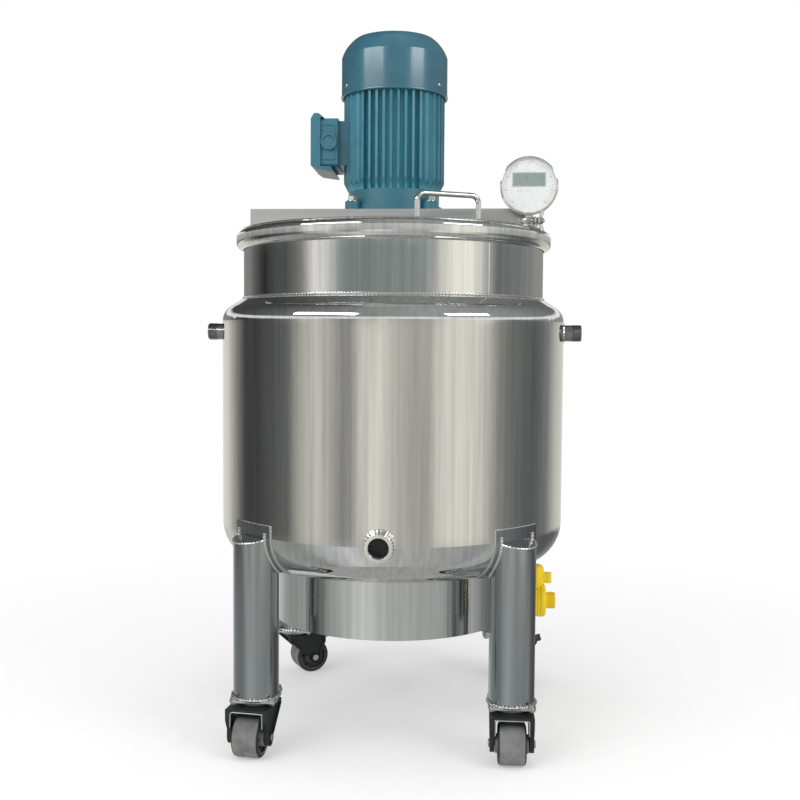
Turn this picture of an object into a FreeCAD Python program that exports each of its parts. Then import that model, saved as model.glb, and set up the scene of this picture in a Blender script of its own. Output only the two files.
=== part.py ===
"""Jacketed mixing tank on casters, with a top motor, a half lid and a dial gauge.

Millimetres, +Z up, floor at z = 0, the tank's axis is the Z axis and its front faces -Y.
"""
import FreeCAD, Part
import math
import os
import re

import Sketcher
from FreeCAD import Placement, Rotation, Vector

# Driving dimensions: (name, size, meaning)
SIZES = [
    ("pot_radius", 250, "outside of the inner pot and of the neck above the jacket"),
    ("pot_wall", 3, "sheet of the pot"),
    ("bottom_gap", 26, "gap between the undersides of the pot and of the jacket"),
    ("pot_dish_rise", 22, "rise of the dished end from the outlet to its knuckle"),
    ("pot_knuckle", 60, "knuckle of the dished end"),
    ("pot_flange", 12, "straight flange of the dished end above its knuckle"),
    ("rim_height", 812, "top of the rolled rim above the floor"),
    ("rim_depth", 36, "height of the rolled rim"),
    ("rim_overhang", 12, "how far the rim bulges beyond the neck"),
    ("rim_inner_round", 5, "inner round of the rim"),
    ("rim_flat", 2, "flat crest of the rim, which carries the covers"),
    ("rim_side_height", 9, "straight outer side of the rim"),
    ("rim_under_round", 12, "round of the rim's underside"),
    ("rim_curl_gap", 1, "gap between the end of the curl and the neck"),
    ("jacket_gap", 35, "outside of the jacket from the outside of the pot"),
    ("jacket_wall", 3, "sheet of the jacket"),
    ("jacket_floor_height", 272, "underside of the jacket"),
    ("jacket_knuckle", 64, "knuckle of the jacket's lower end"),
    ("jacket_flange", 30, "straight flange of the jacket's lower end"),
    ("neck_drop", 110, "foot of the rim above the top of the jacket's straight wall"),
    ("shoulder_round", 28, "round between the wall and the shoulder cone"),
    ("shoulder_slope", 32, "slope of the shoulder cone, degrees"),
    ("skirt_radius", 200, "outside of the housing under the jacket"),
    ("skirt_wall", 2, "sheet of the housing under the jacket"),
    ("skirt_height", 96, "height of the housing under the jacket"),
    ("drain_socket_radius", 20.5, "outside of the front socket"),
    ("drain_socket_bore", 15.5, "bore radius of the front socket"),
    ("drain_socket_reach", 22, "how far the front socket stands out of the jacket"),
    ("drain_socket_rise", 3, "axis of the front socket above the knuckle's upper end"),
    ("steam_pipe_radius", 13.45, "outside of the side nozzles"),
    ("steam_pipe_wall", 2.6, "wall of the side nozzles"),
    ("steam_pipe_reach", 30, "how far the side nozzles stand out of the jacket"),
    ("steam_pipe_drop", 17, "axis of the side nozzles below the straight wall's top"),
    ("nozzle_root", 8, "how far a nozzle reaches inside the jacket's face"),
    ("outlet_radius", 13.45, "outside of the bottom outlet pipe"),
    ("outlet_wall", 2, "wall of the bottom outlet pipe"),
    ("outlet_bend", 38, "bend radius of the outlet pipe's centre line"),
    ("outlet_drop", 76, "axis of the outlet's level run below the jacket's underside"),
    ("outlet_reach", 226, "end of the outlet pipe from the tank's axis"),
    ("valve_nut_radius", 25, "outside of the valve's union nut"),
    ("valve_nut_length", 18, "length of the union nut"),
    ("valve_socket_overlap", 12, "how far the nut slips over the outlet pipe"),
    ("valve_grip_radius", 2.5, "radius of the grip grooves in the union nut"),
    ("valve_grip_count", 16, "number of the grip grooves"),
    ("valve_spigot_radius", 20, "spigot of the valve body inside the nut"),
    ("valve_drum_radius", 28, "outside of the valve's drum"),
    ("valve_drum_length", 30, "length of the valve's drum"),
    ("valve_drum_round", 6, "round of the drum's edges"),
    ("valve_rib_depth", 1.2, "depth of the rings round the drum"),
    ("valve_spout_radius", 13.5, "outside of the spout"),
    ("valve_spout_bore", 10, "bore radius of the valve"),
    ("valve_spout_length", 16, "length of the spout"),
    ("valve_neck_radius", 13, "outside of the stem housing above the drum"),
    ("valve_neck_height", 30, "top of the stem housing above the outlet's axis"),
    ("valve_knob_radius", 14, "radius of the handle's round hub"),
    ("valve_knob_height", 31, "height of the handle's round hub"),
    ("valve_knob_dome", 8.4, "round of the handle's hub at its top"),
    ("valve_wing_length", 27, "length of the handle's wing from the stem's axis"),
    ("valve_wing_width", 12, "thickness of the handle's wing"),
    ("valve_wing_height", 17, "height of the handle's wing"),
    ("leg_radius", 35, "outside of a leg tube"),
    ("leg_wall", 2, "wall of a leg tube"),
    ("leg_inset", 7, "how far the leg's axis lies inside the jacket's face"),
    ("leg_top_rise", 71, "top of a leg above the jacket's underside"),
    ("leg_top_slope", 12, "fall of the leg's top towards its outer side, degrees"),
    ("leg_cap_thickness", 3, "plate that closes a leg's top"),
    ("leg_pad_thickness", 3, "saddle pad between jacket and leg"),
    ("leg_pad_width", 88, "width of the saddle pad"),
    ("leg_pad_top_rise", 83, "top of the saddle pad above the jacket's underside"),
    ("leg_pad_foot_rise", 5, "foot of the saddle pad above the jacket's underside"),
    ("caster_plate_size", 72, "side of the caster's square top plate"),
    ("caster_plate_thickness", 3, "thickness of the caster's top plate"),
    ("caster_plate_corner", 8, "corner radius of the caster's top plate"),
    ("caster_rise", 24, "top of the caster plate above the top of the wheel"),
    ("caster_race_radius", 26, "outside of the caster's swivel race"),
    ("caster_race_height", 7, "height of the caster's swivel race"),
    ("wheel_radius", 31.5, "rolling radius"),
    ("wheel_width", 42, "width of the tread"),
    ("wheel_shoulder", 5, "round of the tread's shoulder"),
    ("wheel_hub_radius", 14, "outside of the hub"),
    ("wheel_rim_recess", 4, "depth of the wheel's face below the tread's side"),
    ("wheel_rim_radius", 24, "radius of the recess in the wheel's face"),
    ("caster_trail", 28, "offset of the axle from the swivel axis"),
    ("fork_width", 66, "outside width of the fork"),
    ("fork_sheet", 3, "sheet of the fork"),
    ("fork_arm", 7, "depth of a fork's arm with its turned-out flange"),
    ("fork_flange", 3, "thickness of the flange round a fork's arm"),
    ("fork_crown_radius", 30, "radius of the fork's crown"),
    ("fork_crown_reach", 24, "front edge of the fork's arms from the swivel axis"),
    ("fork_crown_depth", 9, "depth of the fork's arms at their front edge"),
    ("fork_rear_margin", 6, "how far the fork's arms reach behind the pedal's pin"),
    ("fork_boss_radius", 13, "round end of the fork round the axle"),
    ("axle_radius", 4, "axle bolt"),
    ("axle_head_radius", 7.5, "head of the axle bolt"),
    ("axle_head_height", 4, "height of the axle bolt's head"),
    ("running_clearance", 0.05, "radial play of a wheel on its axle and of a hinge on its pin"),
    ("swivel_clearance", 0.3, "gap between the race and the fork's crown"),
    ("side_play", 1, "play of a hub between the fork's arms"),
    ("pedal_width", 38, "width of the brake pedal"),
    ("pedal_sheet", 3, "sheet of the brake pedal"),
    ("pedal_reach", 66, "tip of the brake pedal from the swivel axis"),
    ("pedal_tip_rise", 9, "rise of the pedal's turned-up tip"),
    ("pedal_pin_radius", 2.5, "pin of the brake pedal"),
    ("pedal_pin_offset", 15, "pin of the brake pedal behind the axle"),
    ("pedal_pin_rise", 3, "pin of the brake pedal above the top of the wheel"),
    ("yaw_front_left", -98, "heading of the front left caster, degrees"),
    ("yaw_front_right", -90, "heading of the front right caster, degrees"),
    ("yaw_rear_left", 30, "heading of the rear left caster, degrees"),
    ("yaw_rear_right", 0, "heading of the rear right caster, degrees"),
    ("cover_edge_margin", 1, "set-back of the covers' edge from the outer side of the crest"),
    ("cover_thickness", 3, "sheet of the covers"),
    ("cover_lip_gap", 10, "gap between the pot's wall and the covers' turned-down lip"),
    ("cover_lip_depth", 14, "depth of the covers' turned-down lip"),
    ("cover_seat_gap", 0.3, "gap between the rim's crest and the covers"),
    ("lid_gap", 5, "gap between the flip lid and the fixed cover"),
    ("lid_hinge_offset", 14, "distance of the lid's hinge line from the beam's face"),
    ("lid_lip_setback", 22, "lip left out of the flip lid beside its hinge line"),
    ("lid_side_reach", 149, "right edge of the flip lid from the axis"),
    ("hinge_knuckle_radius", 4.5, "outside of a hinge knuckle"),
    ("hinge_pin_radius", 2.5, "hinge pin"),
    ("hinge_knuckle_length", 20, "length of one hinge knuckle"),
    ("hinge_leaf_thickness", 2, "sheet of the hinge leaves"),
    ("hinge_leaf_reach", 22, "how far the lid's leaf reaches over the lid"),
    ("hinge_spacing", 190, "distance between the two hinges"),
    ("hinge_shift", 20, "how far the pair of hinges lies left of the axis"),
    ("hinge_knuckle_gap", 0.5, "side gap between knuckles"),
    ("handle_rod_radius", 4, "rod of the lid's handle"),
    ("handle_length", 100, "distance between the handle's feet"),
    ("handle_height", 42, "height of the handle's grip above the lid"),
    ("handle_bend", 12, "bend radius of the handle's rod"),
    ("handle_setback", 28, "distance of the handle from the pot's outside"),
    ("handle_heading", 25, "heading of the handle right of the front, degrees"),
    ("beam_end_setback", 23, "end of the bridge beam from the pot's outside"),
    ("beam_width", 170, "width of the bridge beam"),
    ("beam_height", 31, "height of the bridge beam"),
    ("beam_sheet", 4, "sheet of the bridge beam"),
    ("beam_corner", 4, "outer corner radius of the bridge beam"),
    ("stud_radius", 3.5, "clamp studs at the ends of the beam"),
    ("stud_setback", 14, "distance of the clamp studs from the pot's outside"),
    ("stud_height", 26, "height of the clamp studs above the cover"),
    ("wing_nut_radius", 6.5, "body of the wing nuts"),
    ("wing_nut_height", 8, "height of the wing nuts"),
    ("wing_length", 11, "reach of the nuts' wings"),
    ("shield_radius", 76, "drum of the motor's lower end shield"),
    ("shield_height", 35, "height of the motor's lower end shield"),
    ("shield_foot_radius", 81, "foot flange of the lower end shield"),
    ("shield_foot_thickness", 10, "thickness of the foot flange"),
    ("lug_radius", 12, "corner lugs of the motor"),
    ("lug_height", 14, "height of the corner lugs"),
    ("lug_circle", 90, "distance of the corner lugs from the axis"),
    ("frame_core_radius", 68, "round core of the motor frame"),
    ("frame_fin_radius", 84, "tips of the cooling fins"),
    ("frame_height", 160, "height of the motor frame"),
    ("fin_pitch", 11.8, "pitch of the cooling fins"),
    ("fin_thickness", 4, "thickness of a cooling fin"),
    ("fins_per_side", 9, "parallel fins on each side of the frame"),
    ("corner_bar_radius", 8, "round bar between two groups of fins"),
    ("corner_bar_circle", 75, "distance of the corner bars from the axis"),
    ("fin_foot_height", 16, "height over which the fins' feet slope in"),
    ("fan_cover_radius", 88, "outside of the fan cover"),
    ("fan_cover_height", 96, "height of the fan cover"),
    ("fan_cover_wall", 2, "sheet of the fan cover"),
    ("fan_cover_top_radius", 66, "flat grille at the top of the fan cover"),
    ("fan_cover_shoulder", 30, "height of the fan cover's shoulder"),
    ("fan_cover_overlap", 5, "how far the fan cover slips over the frame"),
    ("top_shield_height", 10, "height of the motor's upper end shield"),
    ("grille_slot_length", 26, "length of a slot in the fan grille"),
    ("grille_slot_width", 5, "width of a slot in the fan grille"),
    ("grille_slot_count", 18, "slots in the fan grille"),
    ("grille_slot_start", 26, "inner end of the grille slots from the axis"),
    ("fan_radius", 66, "tips of the fan's blades"),
    ("fan_hub_radius", 16, "hub of the fan"),
    ("fan_height", 34, "height of the fan's blades"),
    ("fan_blade_thickness", 3, "thickness of a fan blade"),
    ("fan_blade_count", 6, "number of the fan's blades"),
    ("fan_gap", 8, "gap between the upper end shield and the fan"),
    ("box_face", 134, "outer face of the terminal box's lid from the axis"),
    ("box_lid_depth", 16, "depth of the terminal box's lid"),
    ("box_body_depth", 28, "depth of the terminal box's body"),
    ("box_width", 96, "width of the terminal box"),
    ("box_height", 79, "height of the terminal box's body"),
    ("box_rise", 78, "middle of the terminal box above the motor frame's foot"),
    ("box_neck_width", 76, "width of the neck between box and frame"),
    ("box_neck_height", 72, "height of the neck between box and frame"),
    ("box_round", 6, "rounded corners of the terminal box"),
    ("box_lip_height", 7, "lip of the terminal box's lid"),
    ("plug_radius", 13, "conduit plug"),
    ("plug_reach", 6, "how far the conduit plug stands out"),
    ("gauge_setback", 9.5, "distance of the gauge stem from the pot's outside"),
    ("gauge_beam_gap", 0.734, "gap between the gauge's clamp and the beam's face"),
    ("gauge_radius", 45.5, "outside of the gauge's bezel"),
    ("gauge_depth", 22, "depth of the gauge's case"),
    ("gauge_rise", 63, "centre of the dial above the covers"),
    ("gauge_bezel_width", 4, "face width of the bezel"),
    ("gauge_bezel_depth", 9, "depth of the bezel"),
    ("gauge_face_recess", 3, "depth of the dial below the bezel's edge"),
    ("gauge_face_thickness", 2, "thickness of the dial plate"),
    ("gauge_stem_radius", 5, "stem of the gauge"),
    ("gauge_probe_radius", 3, "probe of the gauge inside the pot"),
    ("gauge_ferrule_radius", 12, "ferrule that seats the gauge on the cover"),
    ("gauge_ferrule_height", 8, "height of the ferrule"),
    ("gauge_clamp_radius", 14, "clamp round the ferrule"),
    ("gauge_clamp_height", 9, "height of the clamp"),
    ("gauge_probe_length", 260, "length of the gauge's probe below the cover"),
    ("shaft_radius", 11, "agitator shaft"),
    ("shaft_foot_height", 377, "lower end of the agitator shaft"),
    ("impeller_height", 395, "middle of the impeller above the floor"),
    ("impeller_hub_radius", 20, "hub of the impeller"),
    ("impeller_hub_height", 34, "height of the impeller's hub"),
    ("impeller_blade_radius", 85, "tips of the impeller's blades"),
    ("impeller_blade_height", 34, "height of the impeller's blades"),
    ("impeller_blade_thickness", 4, "thickness of the impeller's blades"),
    ("impeller_blade_pitch", 45, "pitch of the impeller's blades, degrees"),
    ("impeller_blade_count", 4, "number of the impeller's blades"),
]

document = FreeCAD.newDocument("MixingTank")
sheet = document.addObject("Spreadsheet::Sheet", "Sizes")
for row, (alias, size, meaning) in enumerate(SIZES, start=1):
    sheet.set("A%d" % row, meaning)
    sheet.set("B%d" % row, str(size))
    sheet.setAlias("B%d" % row, alias)
document.recompute()

SIZE_NAMES = re.compile(r"\b(" + "|".join(alias for alias, _, _ in SIZES) + r")\b")
NO_TURN = Rotation()
ALONG_X = Rotation(Vector(0, 1, 0), 90)
ALONG_FRONT = Rotation(Vector(1, 0, 0), 90)

# Sizes that follow the driving ones; their names are used in expressions as the others are
FOLLOWING = {
    "jacket_straight_top": "(rim_height - rim_depth - neck_drop)",
    "jacket_radius": "(pot_radius + jacket_gap)",
    "pot_floor_height": "(jacket_floor_height + bottom_gap)",
    "drain_socket_height": "(jacket_floor_height + jacket_knuckle + drain_socket_rise)",
    "steam_pipe_height": "(rim_height - rim_depth - neck_drop - steam_pipe_drop)",
    "skirt_foot_height": "(jacket_floor_height - skirt_height)",
    "outlet_height": "(jacket_floor_height - outlet_drop)",
    "leg_top_height": "(jacket_floor_height + leg_top_rise)",
    "leg_pad_top_height": "(jacket_floor_height + leg_pad_top_rise)",
    "leg_pad_foot_height": "(jacket_floor_height + leg_pad_foot_rise)",
    "caster_height": "(2 * wheel_radius + caster_rise)",
    "pedal_pin_height": "(2 * wheel_radius + pedal_pin_rise)",
    "handle_offset": "(pot_radius - handle_setback)",
    "beam_length": "(2 * (pot_radius - beam_end_setback))",
    "stud_offset": "(pot_radius - stud_setback)",
    "box_centre_height": "(rim_height + cover_seat_gap + cover_thickness + beam_height"
                         " + shield_height + box_rise)",
    "gauge_x": "sqrt((pot_radius - gauge_setback) ^ 2"
               " - (beam_width / 2 + gauge_beam_gap + gauge_clamp_radius) ^ 2)",
    "gauge_y": "(-(beam_width / 2 + gauge_beam_gap + gauge_clamp_radius))",
    "gauge_centre_height": "(rim_height + cover_seat_gap + cover_thickness + gauge_rise)",
}
FOLLOWING_NAMES = re.compile(r"\b(" + "|".join(FOLLOWING) + r")\b")

# Levels and places worked out from the driving dimensions, as expressions
RIM_FOOT = "(rim_height - rim_depth)"
RIM_RADIUS = "(pot_radius + rim_overhang)"
COVER_RADIUS = "(pot_radius - pot_wall + rim_inner_round + rim_flat - cover_edge_margin)"
LIP_RADIUS = "(pot_radius - pot_wall - cover_lip_gap)"
RIM_CROWN = "(rim_overhang + pot_wall - rim_inner_round - rim_flat)"
POT_KNUCKLE_LEVEL = "(pot_floor_height + pot_dish_rise + pot_knuckle)"
POT_FLANGE_TOP = "(pot_floor_height + pot_dish_rise + pot_knuckle + pot_flange)"
JACKET_KNUCKLE_LEVEL = "(jacket_floor_height + jacket_knuckle)"
JACKET_FLANGE_TOP = "(jacket_floor_height + jacket_knuckle + jacket_flange)"
COVER_FOOT = "(rim_height + cover_seat_gap)"
COVER_TOP = "(rim_height + cover_seat_gap + cover_thickness)"
BEAM_TOP = "(rim_height + cover_seat_gap + cover_thickness + beam_height)"
SHIELD_TOP = "(%s + shield_height)" % BEAM_TOP
FRAME_TOP = "(%s + frame_height)" % SHIELD_TOP
LEG_CIRCLE = "(jacket_radius - leg_inset)"
HINGE_LINE = "(beam_width / 2 + lid_hinge_offset)"
HINGE_LEVEL = "(%s + hinge_knuckle_radius)" % COVER_TOP
VALVE_STEM_X = ("(outlet_reach + valve_nut_length - valve_socket_overlap + valve_neck_radius)")
PEDAL_PIN_X = "(caster_trail + pedal_pin_offset)"
RACE_FOOT = "(caster_height - caster_plate_thickness - caster_race_height)"
CROWN_TOP = "(%s - swivel_clearance)" % RACE_FOOT
FORK_GAP = "(fork_width - 2 * fork_arm)"
FORK_WEBS = "(fork_width - 2 * fork_arm + 2 * fork_sheet)"


def expand(expression):
    """Return the expression with each following size written out in driving sizes."""
    return FOLLOWING_NAMES.sub(lambda match: FOLLOWING[match.group(1)], str(expression))


def bind(expression):
    """Return the expression with each size name pointing at its cell."""
    return SIZE_NAMES.sub(lambda match: "Sizes." + match.group(1), expand(expression))


def value(expression):
    """Return the number that an expression of size names gives."""
    return float(sheet.evalExpression(expand(expression)))


def place(item, at=(0, 0, 0), turn=NO_TURN):
    """Put an object at a place given by three expressions, with a fixed rotation."""
    item.Placement = Placement(Vector(*[value(part) for part in at]), turn)
    for axis, part in zip("xyz", at):
        if str(part) != "0":
            item.setExpression("Placement.Base." + axis, bind(part))
    return item


def cylinder(name, radius, height, at=(0, 0, 0), turn=NO_TURN):
    """Add a cylinder whose axis starts at the given place."""
    item = document.addObject("Part::Cylinder", name)
    item.setExpression("Radius", bind(radius))
    item.setExpression("Height", bind(height))
    return place(item, at, turn)


def cone(name, radius_low, radius_high, height, at=(0, 0, 0), turn=NO_TURN):
    """Add a cone frustum whose axis starts at the given place."""
    item = document.addObject("Part::Cone", name)
    item.setExpression("Radius1", bind(radius_low))
    item.setExpression("Radius2", bind(radius_high))
    item.setExpression("Height", bind(height))
    return place(item, at, turn)


def box(name, sides, at):
    """Add a box with its lowest corner at the given place."""
    item = document.addObject("Part::Box", name)
    for side, size in zip(("Length", "Width", "Height"), sides):
        item.setExpression(side, bind(size))
    return place(item, at)


def cut(name, base, tool):
    """Take one object's shape out of another's."""
    item = document.addObject("Part::Cut", name)
    item.Base = base
    item.Tool = tool
    return item


def fuse(name, *pieces):
    """Join shapes into one."""
    item = document.addObject("Part::MultiFuse", name)
    item.Shapes = list(pieces)
    return item


def common(name, *pieces):
    """Keep what all the shapes share."""
    item = document.addObject("Part::MultiCommon", name)
    item.Shapes = list(pieces)
    return item


def new_body(name, at=(0, 0, 0), turn=NO_TURN):
    """Add a PartDesign body at a place."""
    return place(document.addObject("PartDesign::Body", name), at, turn)


def new_sketch(body, name, plane, offset="0"):
    """Add a sketch on one of the body's own origin planes, raised along its normal."""
    sketch = body.newObject("Sketcher::SketchObject", name)
    support = [item for item in body.Origin.OriginFeatures if item.Role == plane][0]
    sketch.AttachmentSupport = [(support, "")]
    sketch.MapMode = "FlatFace"
    sketch.AttachmentOffset = Placement(Vector(0, 0, value(offset)), NO_TURN)
    if str(offset) != "0":
        sketch.setExpression("AttachmentOffset.Base.z", bind(offset))
    return sketch


def fix(sketch, kind, geometry, point, expression):
    """Bind one coordinate of a sketch point, measured from the sketch's origin."""
    constraint = Sketcher.Constraint(kind, -1, 1, geometry, point, value(expression))
    index = sketch.addConstraint(constraint)
    sketch.setExpression("Constraints[%d]" % index, bind(expression))


def arc_centre(start, end, radius, bulge):
    """Return the centre of the short arc that bulges left (+1) or right (-1) of its chord."""
    chord = end - start
    height = max(radius ** 2 - chord.Length ** 2 / 4, 0) ** 0.5
    left = Vector(-chord.y, chord.x, 0).normalize()
    return (start + end) / 2 - left * height * bulge


def angle_of(point, centre):
    """Return the angle of a point round a centre, in radians."""
    return math.atan2(point.y - centre.y, point.x - centre.x)


def add_run(sketch, start, end, step):
    """Add one straight or round run and return its (start, end) point numbers."""
    if len(step) == 2:
        sketch.addGeometry(Part.LineSegment(start, end))
        return 1, 2
    radius, bulge = value(step[2]), step[3]
    centre = arc_centre(start, end, radius, bulge)
    circle = Part.Circle(centre, Vector(0, 0, 1), radius)
    if bulge > 0:
        sketch.addGeometry(Part.ArcOfCircle(circle, angle_of(end, centre), angle_of(start, centre)))
        return 2, 1
    sketch.addGeometry(Part.ArcOfCircle(circle, angle_of(start, centre), angle_of(end, centre)))
    return 1, 2


def add_loop(sketch, steps, closed=True):
    """Add a chain of runs to a sketch and bind each of its corners.

    Each step is (x, y) for a straight run to that point, or (x, y, radius, bulge) for a
    round one; coordinates are expressions of the sizes. A closed chain ends where it began.
    """
    first = sketch.GeometryCount
    points = [Vector(value(step[0]), value(step[1]), 0) for step in steps]
    runs = range(len(steps)) if closed else range(1, len(steps))
    ends = [add_run(sketch, points[index - 1], points[index], steps[index]) for index in runs]
    count = len(ends)
    for index in range(count if closed else count - 1):
        after = (index + 1) % count
        sketch.addConstraint(Sketcher.Constraint(
            "Coincident", first + index, ends[index][1], first + after, ends[after][0]))
    if not closed:
        fix(sketch, "DistanceX", first, ends[0][0], steps[0][0])
        fix(sketch, "DistanceY", first, ends[0][0], steps[0][1])
    for index, step in zip(range(count), [steps[number] for number in runs]):
        fix(sketch, "DistanceX", first + index, ends[index][1], step[0])
        fix(sketch, "DistanceY", first + index, ends[index][1], step[1])
        if len(step) == 4:
            bind_radius(sketch, first + index, step[2])


def bind_radius(sketch, geometry, radius):
    """Bind the radius of a circle or arc in a sketch."""
    number = sketch.addConstraint(Sketcher.Constraint("Radius", geometry, value(radius)))
    sketch.setExpression("Constraints[%d]" % number, bind(radius))


def outline(body, name, plane, steps, offset="0", closed=True):
    """Add a sketch with one outline."""
    return outlines(body, name, plane, [steps], offset, closed)


def outlines(body, name, plane, loops, offset="0", closed=True):
    """Add a sketch with several outlines."""
    sketch = new_sketch(body, name, plane, offset)
    for steps in loops:
        add_loop(sketch, steps, closed)
    return sketch


def circles(body, name, plane, rings, offset="0"):
    """Add a sketch of circles, each (x, y, radius)."""
    sketch = new_sketch(body, name, plane, offset)
    for index, (x, y, radius) in enumerate(rings):
        centre = Vector(value(x), value(y), 0)
        sketch.addGeometry(Part.Circle(centre, Vector(0, 0, 1), value(radius)))
        fix(sketch, "DistanceX", index, 3, x)
        fix(sketch, "DistanceY", index, 3, y)
        bind_radius(sketch, index, radius)
    return sketch


def rectangle(x_low, x_high, y_low, y_high):
    """Return the outline steps of a rectangle."""
    return [(x_low, y_low), (x_high, y_low), (x_high, y_high), (x_low, y_high)]


def pad(body, sketch, length, middle=False, backwards=False):
    """Extrude a sketch."""
    item = body.newObject("PartDesign::Pad", sketch.Name + "Pad")
    item.Profile = sketch
    item.setExpression("Length", bind(length))
    item.Midplane = middle
    item.Reversed = backwards
    return item


def pocket(body, sketch, length, middle=True, backwards=False):
    """Cut a sketch out of the body, to both sides of its plane unless told otherwise."""
    item = body.newObject("PartDesign::Pocket", sketch.Name + "Pocket")
    item.Profile = sketch
    item.setExpression("Length", bind(length))
    item.Midplane = middle
    item.Reversed = backwards
    return item


def revolve(body, sketch):
    """Turn a sketch once round its vertical axis."""
    item = body.newObject("PartDesign::Revolution", sketch.Name + "Turn")
    item.Profile = sketch
    item.ReferenceAxis = (sketch, ["V_Axis"])
    item.Angle = 360
    return item


def around(body, feature, count):
    """Repeat a feature round the body's Z axis."""
    item = body.newObject("PartDesign::PolarPattern", feature.Name + "Ring")
    item.Originals = [feature]
    axis = [part for part in body.Origin.OriginFeatures if part.Role == "Z_Axis"][0]
    item.Axis = (axis, [""])
    item.Angle = 360
    item.setExpression("Occurrences", bind(count))
    body.Tip = item
    return item


def turned(name, steps, at=(0, 0, 0), turn=NO_TURN):
    """Add a body turned round its Z axis from an outline of (radius, height) steps."""
    body = new_body(name, at, turn)
    revolve(body, outline(body, name + "Section", "XZ_Plane", steps))
    return body


def bored(body, name, plane, x, y, radius, offset, length):
    """Cut a round hole through a body, centred on the offset plane."""
    return pocket(body, circles(body, name, plane, [(x, y, radius)], offset), length)


parts = {}


def keep(node, item):
    """Name a finished sub-part and list it for export."""
    item.Label = node
    parts[node] = item
    return item


def jacket_outline(grow):
    """Return the jacket's solid outline from the axis round to the neck, grown outwards."""
    across = "sin(shoulder_slope)"
    upward = "cos(shoulder_slope)"
    round_end_x = "(jacket_radius - shoulder_round + (shoulder_round + %s) * %s)" % (grow, across)
    round_end_z = "(jacket_straight_top + (shoulder_round + %s) * %s)" % (grow, upward)
    neck_z = "(%s + (%s - pot_radius) * tan(shoulder_slope))" % (round_end_z, round_end_x)
    return [
        ("0", "jacket_floor_height - (%s)" % grow),
        ("jacket_radius - jacket_knuckle", "jacket_floor_height - (%s)" % grow),
        ("jacket_radius + (%s)" % grow, JACKET_KNUCKLE_LEVEL, "jacket_knuckle + (%s)" % grow, -1),
        ("jacket_radius + (%s)" % grow, "jacket_straight_top"),
        (round_end_x, round_end_z, "shoulder_round + (%s)" % grow, -1),
        ("pot_radius", neck_z),
        ("0", neck_z),
    ]


def make_pot():
    """Make the inner pot: wall, dished end and rolled rim."""
    keep("pot_wall", turned("PotWall", rectangle(
        "pot_radius - pot_wall", "pot_radius", POT_FLANGE_TOP, RIM_FOOT)))

    low, sheet_size = "pot_floor_height", "pot_wall"
    knuckle_foot = "(pot_floor_height + pot_dish_rise)"
    end = turned("PotBottom", [
        ("outlet_radius", low),
        ("pot_radius - pot_knuckle", knuckle_foot),
        ("pot_radius", POT_KNUCKLE_LEVEL, "pot_knuckle", -1),
        ("pot_radius", POT_FLANGE_TOP),
        ("pot_radius - pot_wall", POT_FLANGE_TOP),
        ("pot_radius - pot_wall", POT_KNUCKLE_LEVEL),
        ("pot_radius - pot_knuckle", knuckle_foot + " + " + sheet_size,
         "pot_knuckle - pot_wall", 1),
        ("outlet_radius", low + " + " + sheet_size),
    ])
    keep("pot_bottom", end)

    inner = "(pot_radius - pot_wall)"
    crown_level = "(rim_height - %s)" % RIM_CROWN
    side_foot = "(%s - rim_side_height)" % crown_level
    centre = "(%s - rim_under_round)" % RIM_RADIUS
    run = "(pot_radius + rim_curl_gap - %s)" % centre
    drop = "sqrt((rim_under_round - pot_wall) ^ 2 - %s ^ 2)" % run
    growth = "rim_under_round / (rim_under_round - pot_wall)"
    keep("rim_bead", turned("RimBead", [
        (inner, RIM_FOOT),
        (inner, "rim_height - rim_inner_round"),
        (inner + " + rim_inner_round", "rim_height", "rim_inner_round", 1),
        (inner + " + rim_inner_round + rim_flat", "rim_height"),
        (RIM_RADIUS, crown_level, RIM_CROWN, 1),
        (RIM_RADIUS, side_foot),
        ("%s + %s * %s" % (centre, run, growth), "%s - %s * %s" % (side_foot, drop, growth),
         "rim_under_round", 1),
        ("%s + %s" % (centre, run), "%s - %s" % (side_foot, drop)),
        (RIM_RADIUS + " - pot_wall", side_foot, "rim_under_round - pot_wall", -1),
        (RIM_RADIUS + " - pot_wall", crown_level),
        (inner + " + rim_inner_round + rim_flat", "rim_height - pot_wall",
         RIM_CROWN + " - pot_wall", -1),
        (inner + " + rim_inner_round", "rim_height - pot_wall"),
        (inner + " + pot_wall", "rim_height - rim_inner_round", "rim_inner_round - pot_wall", -1),
        (inner + " + pot_wall", RIM_FOOT),
    ]))


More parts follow.
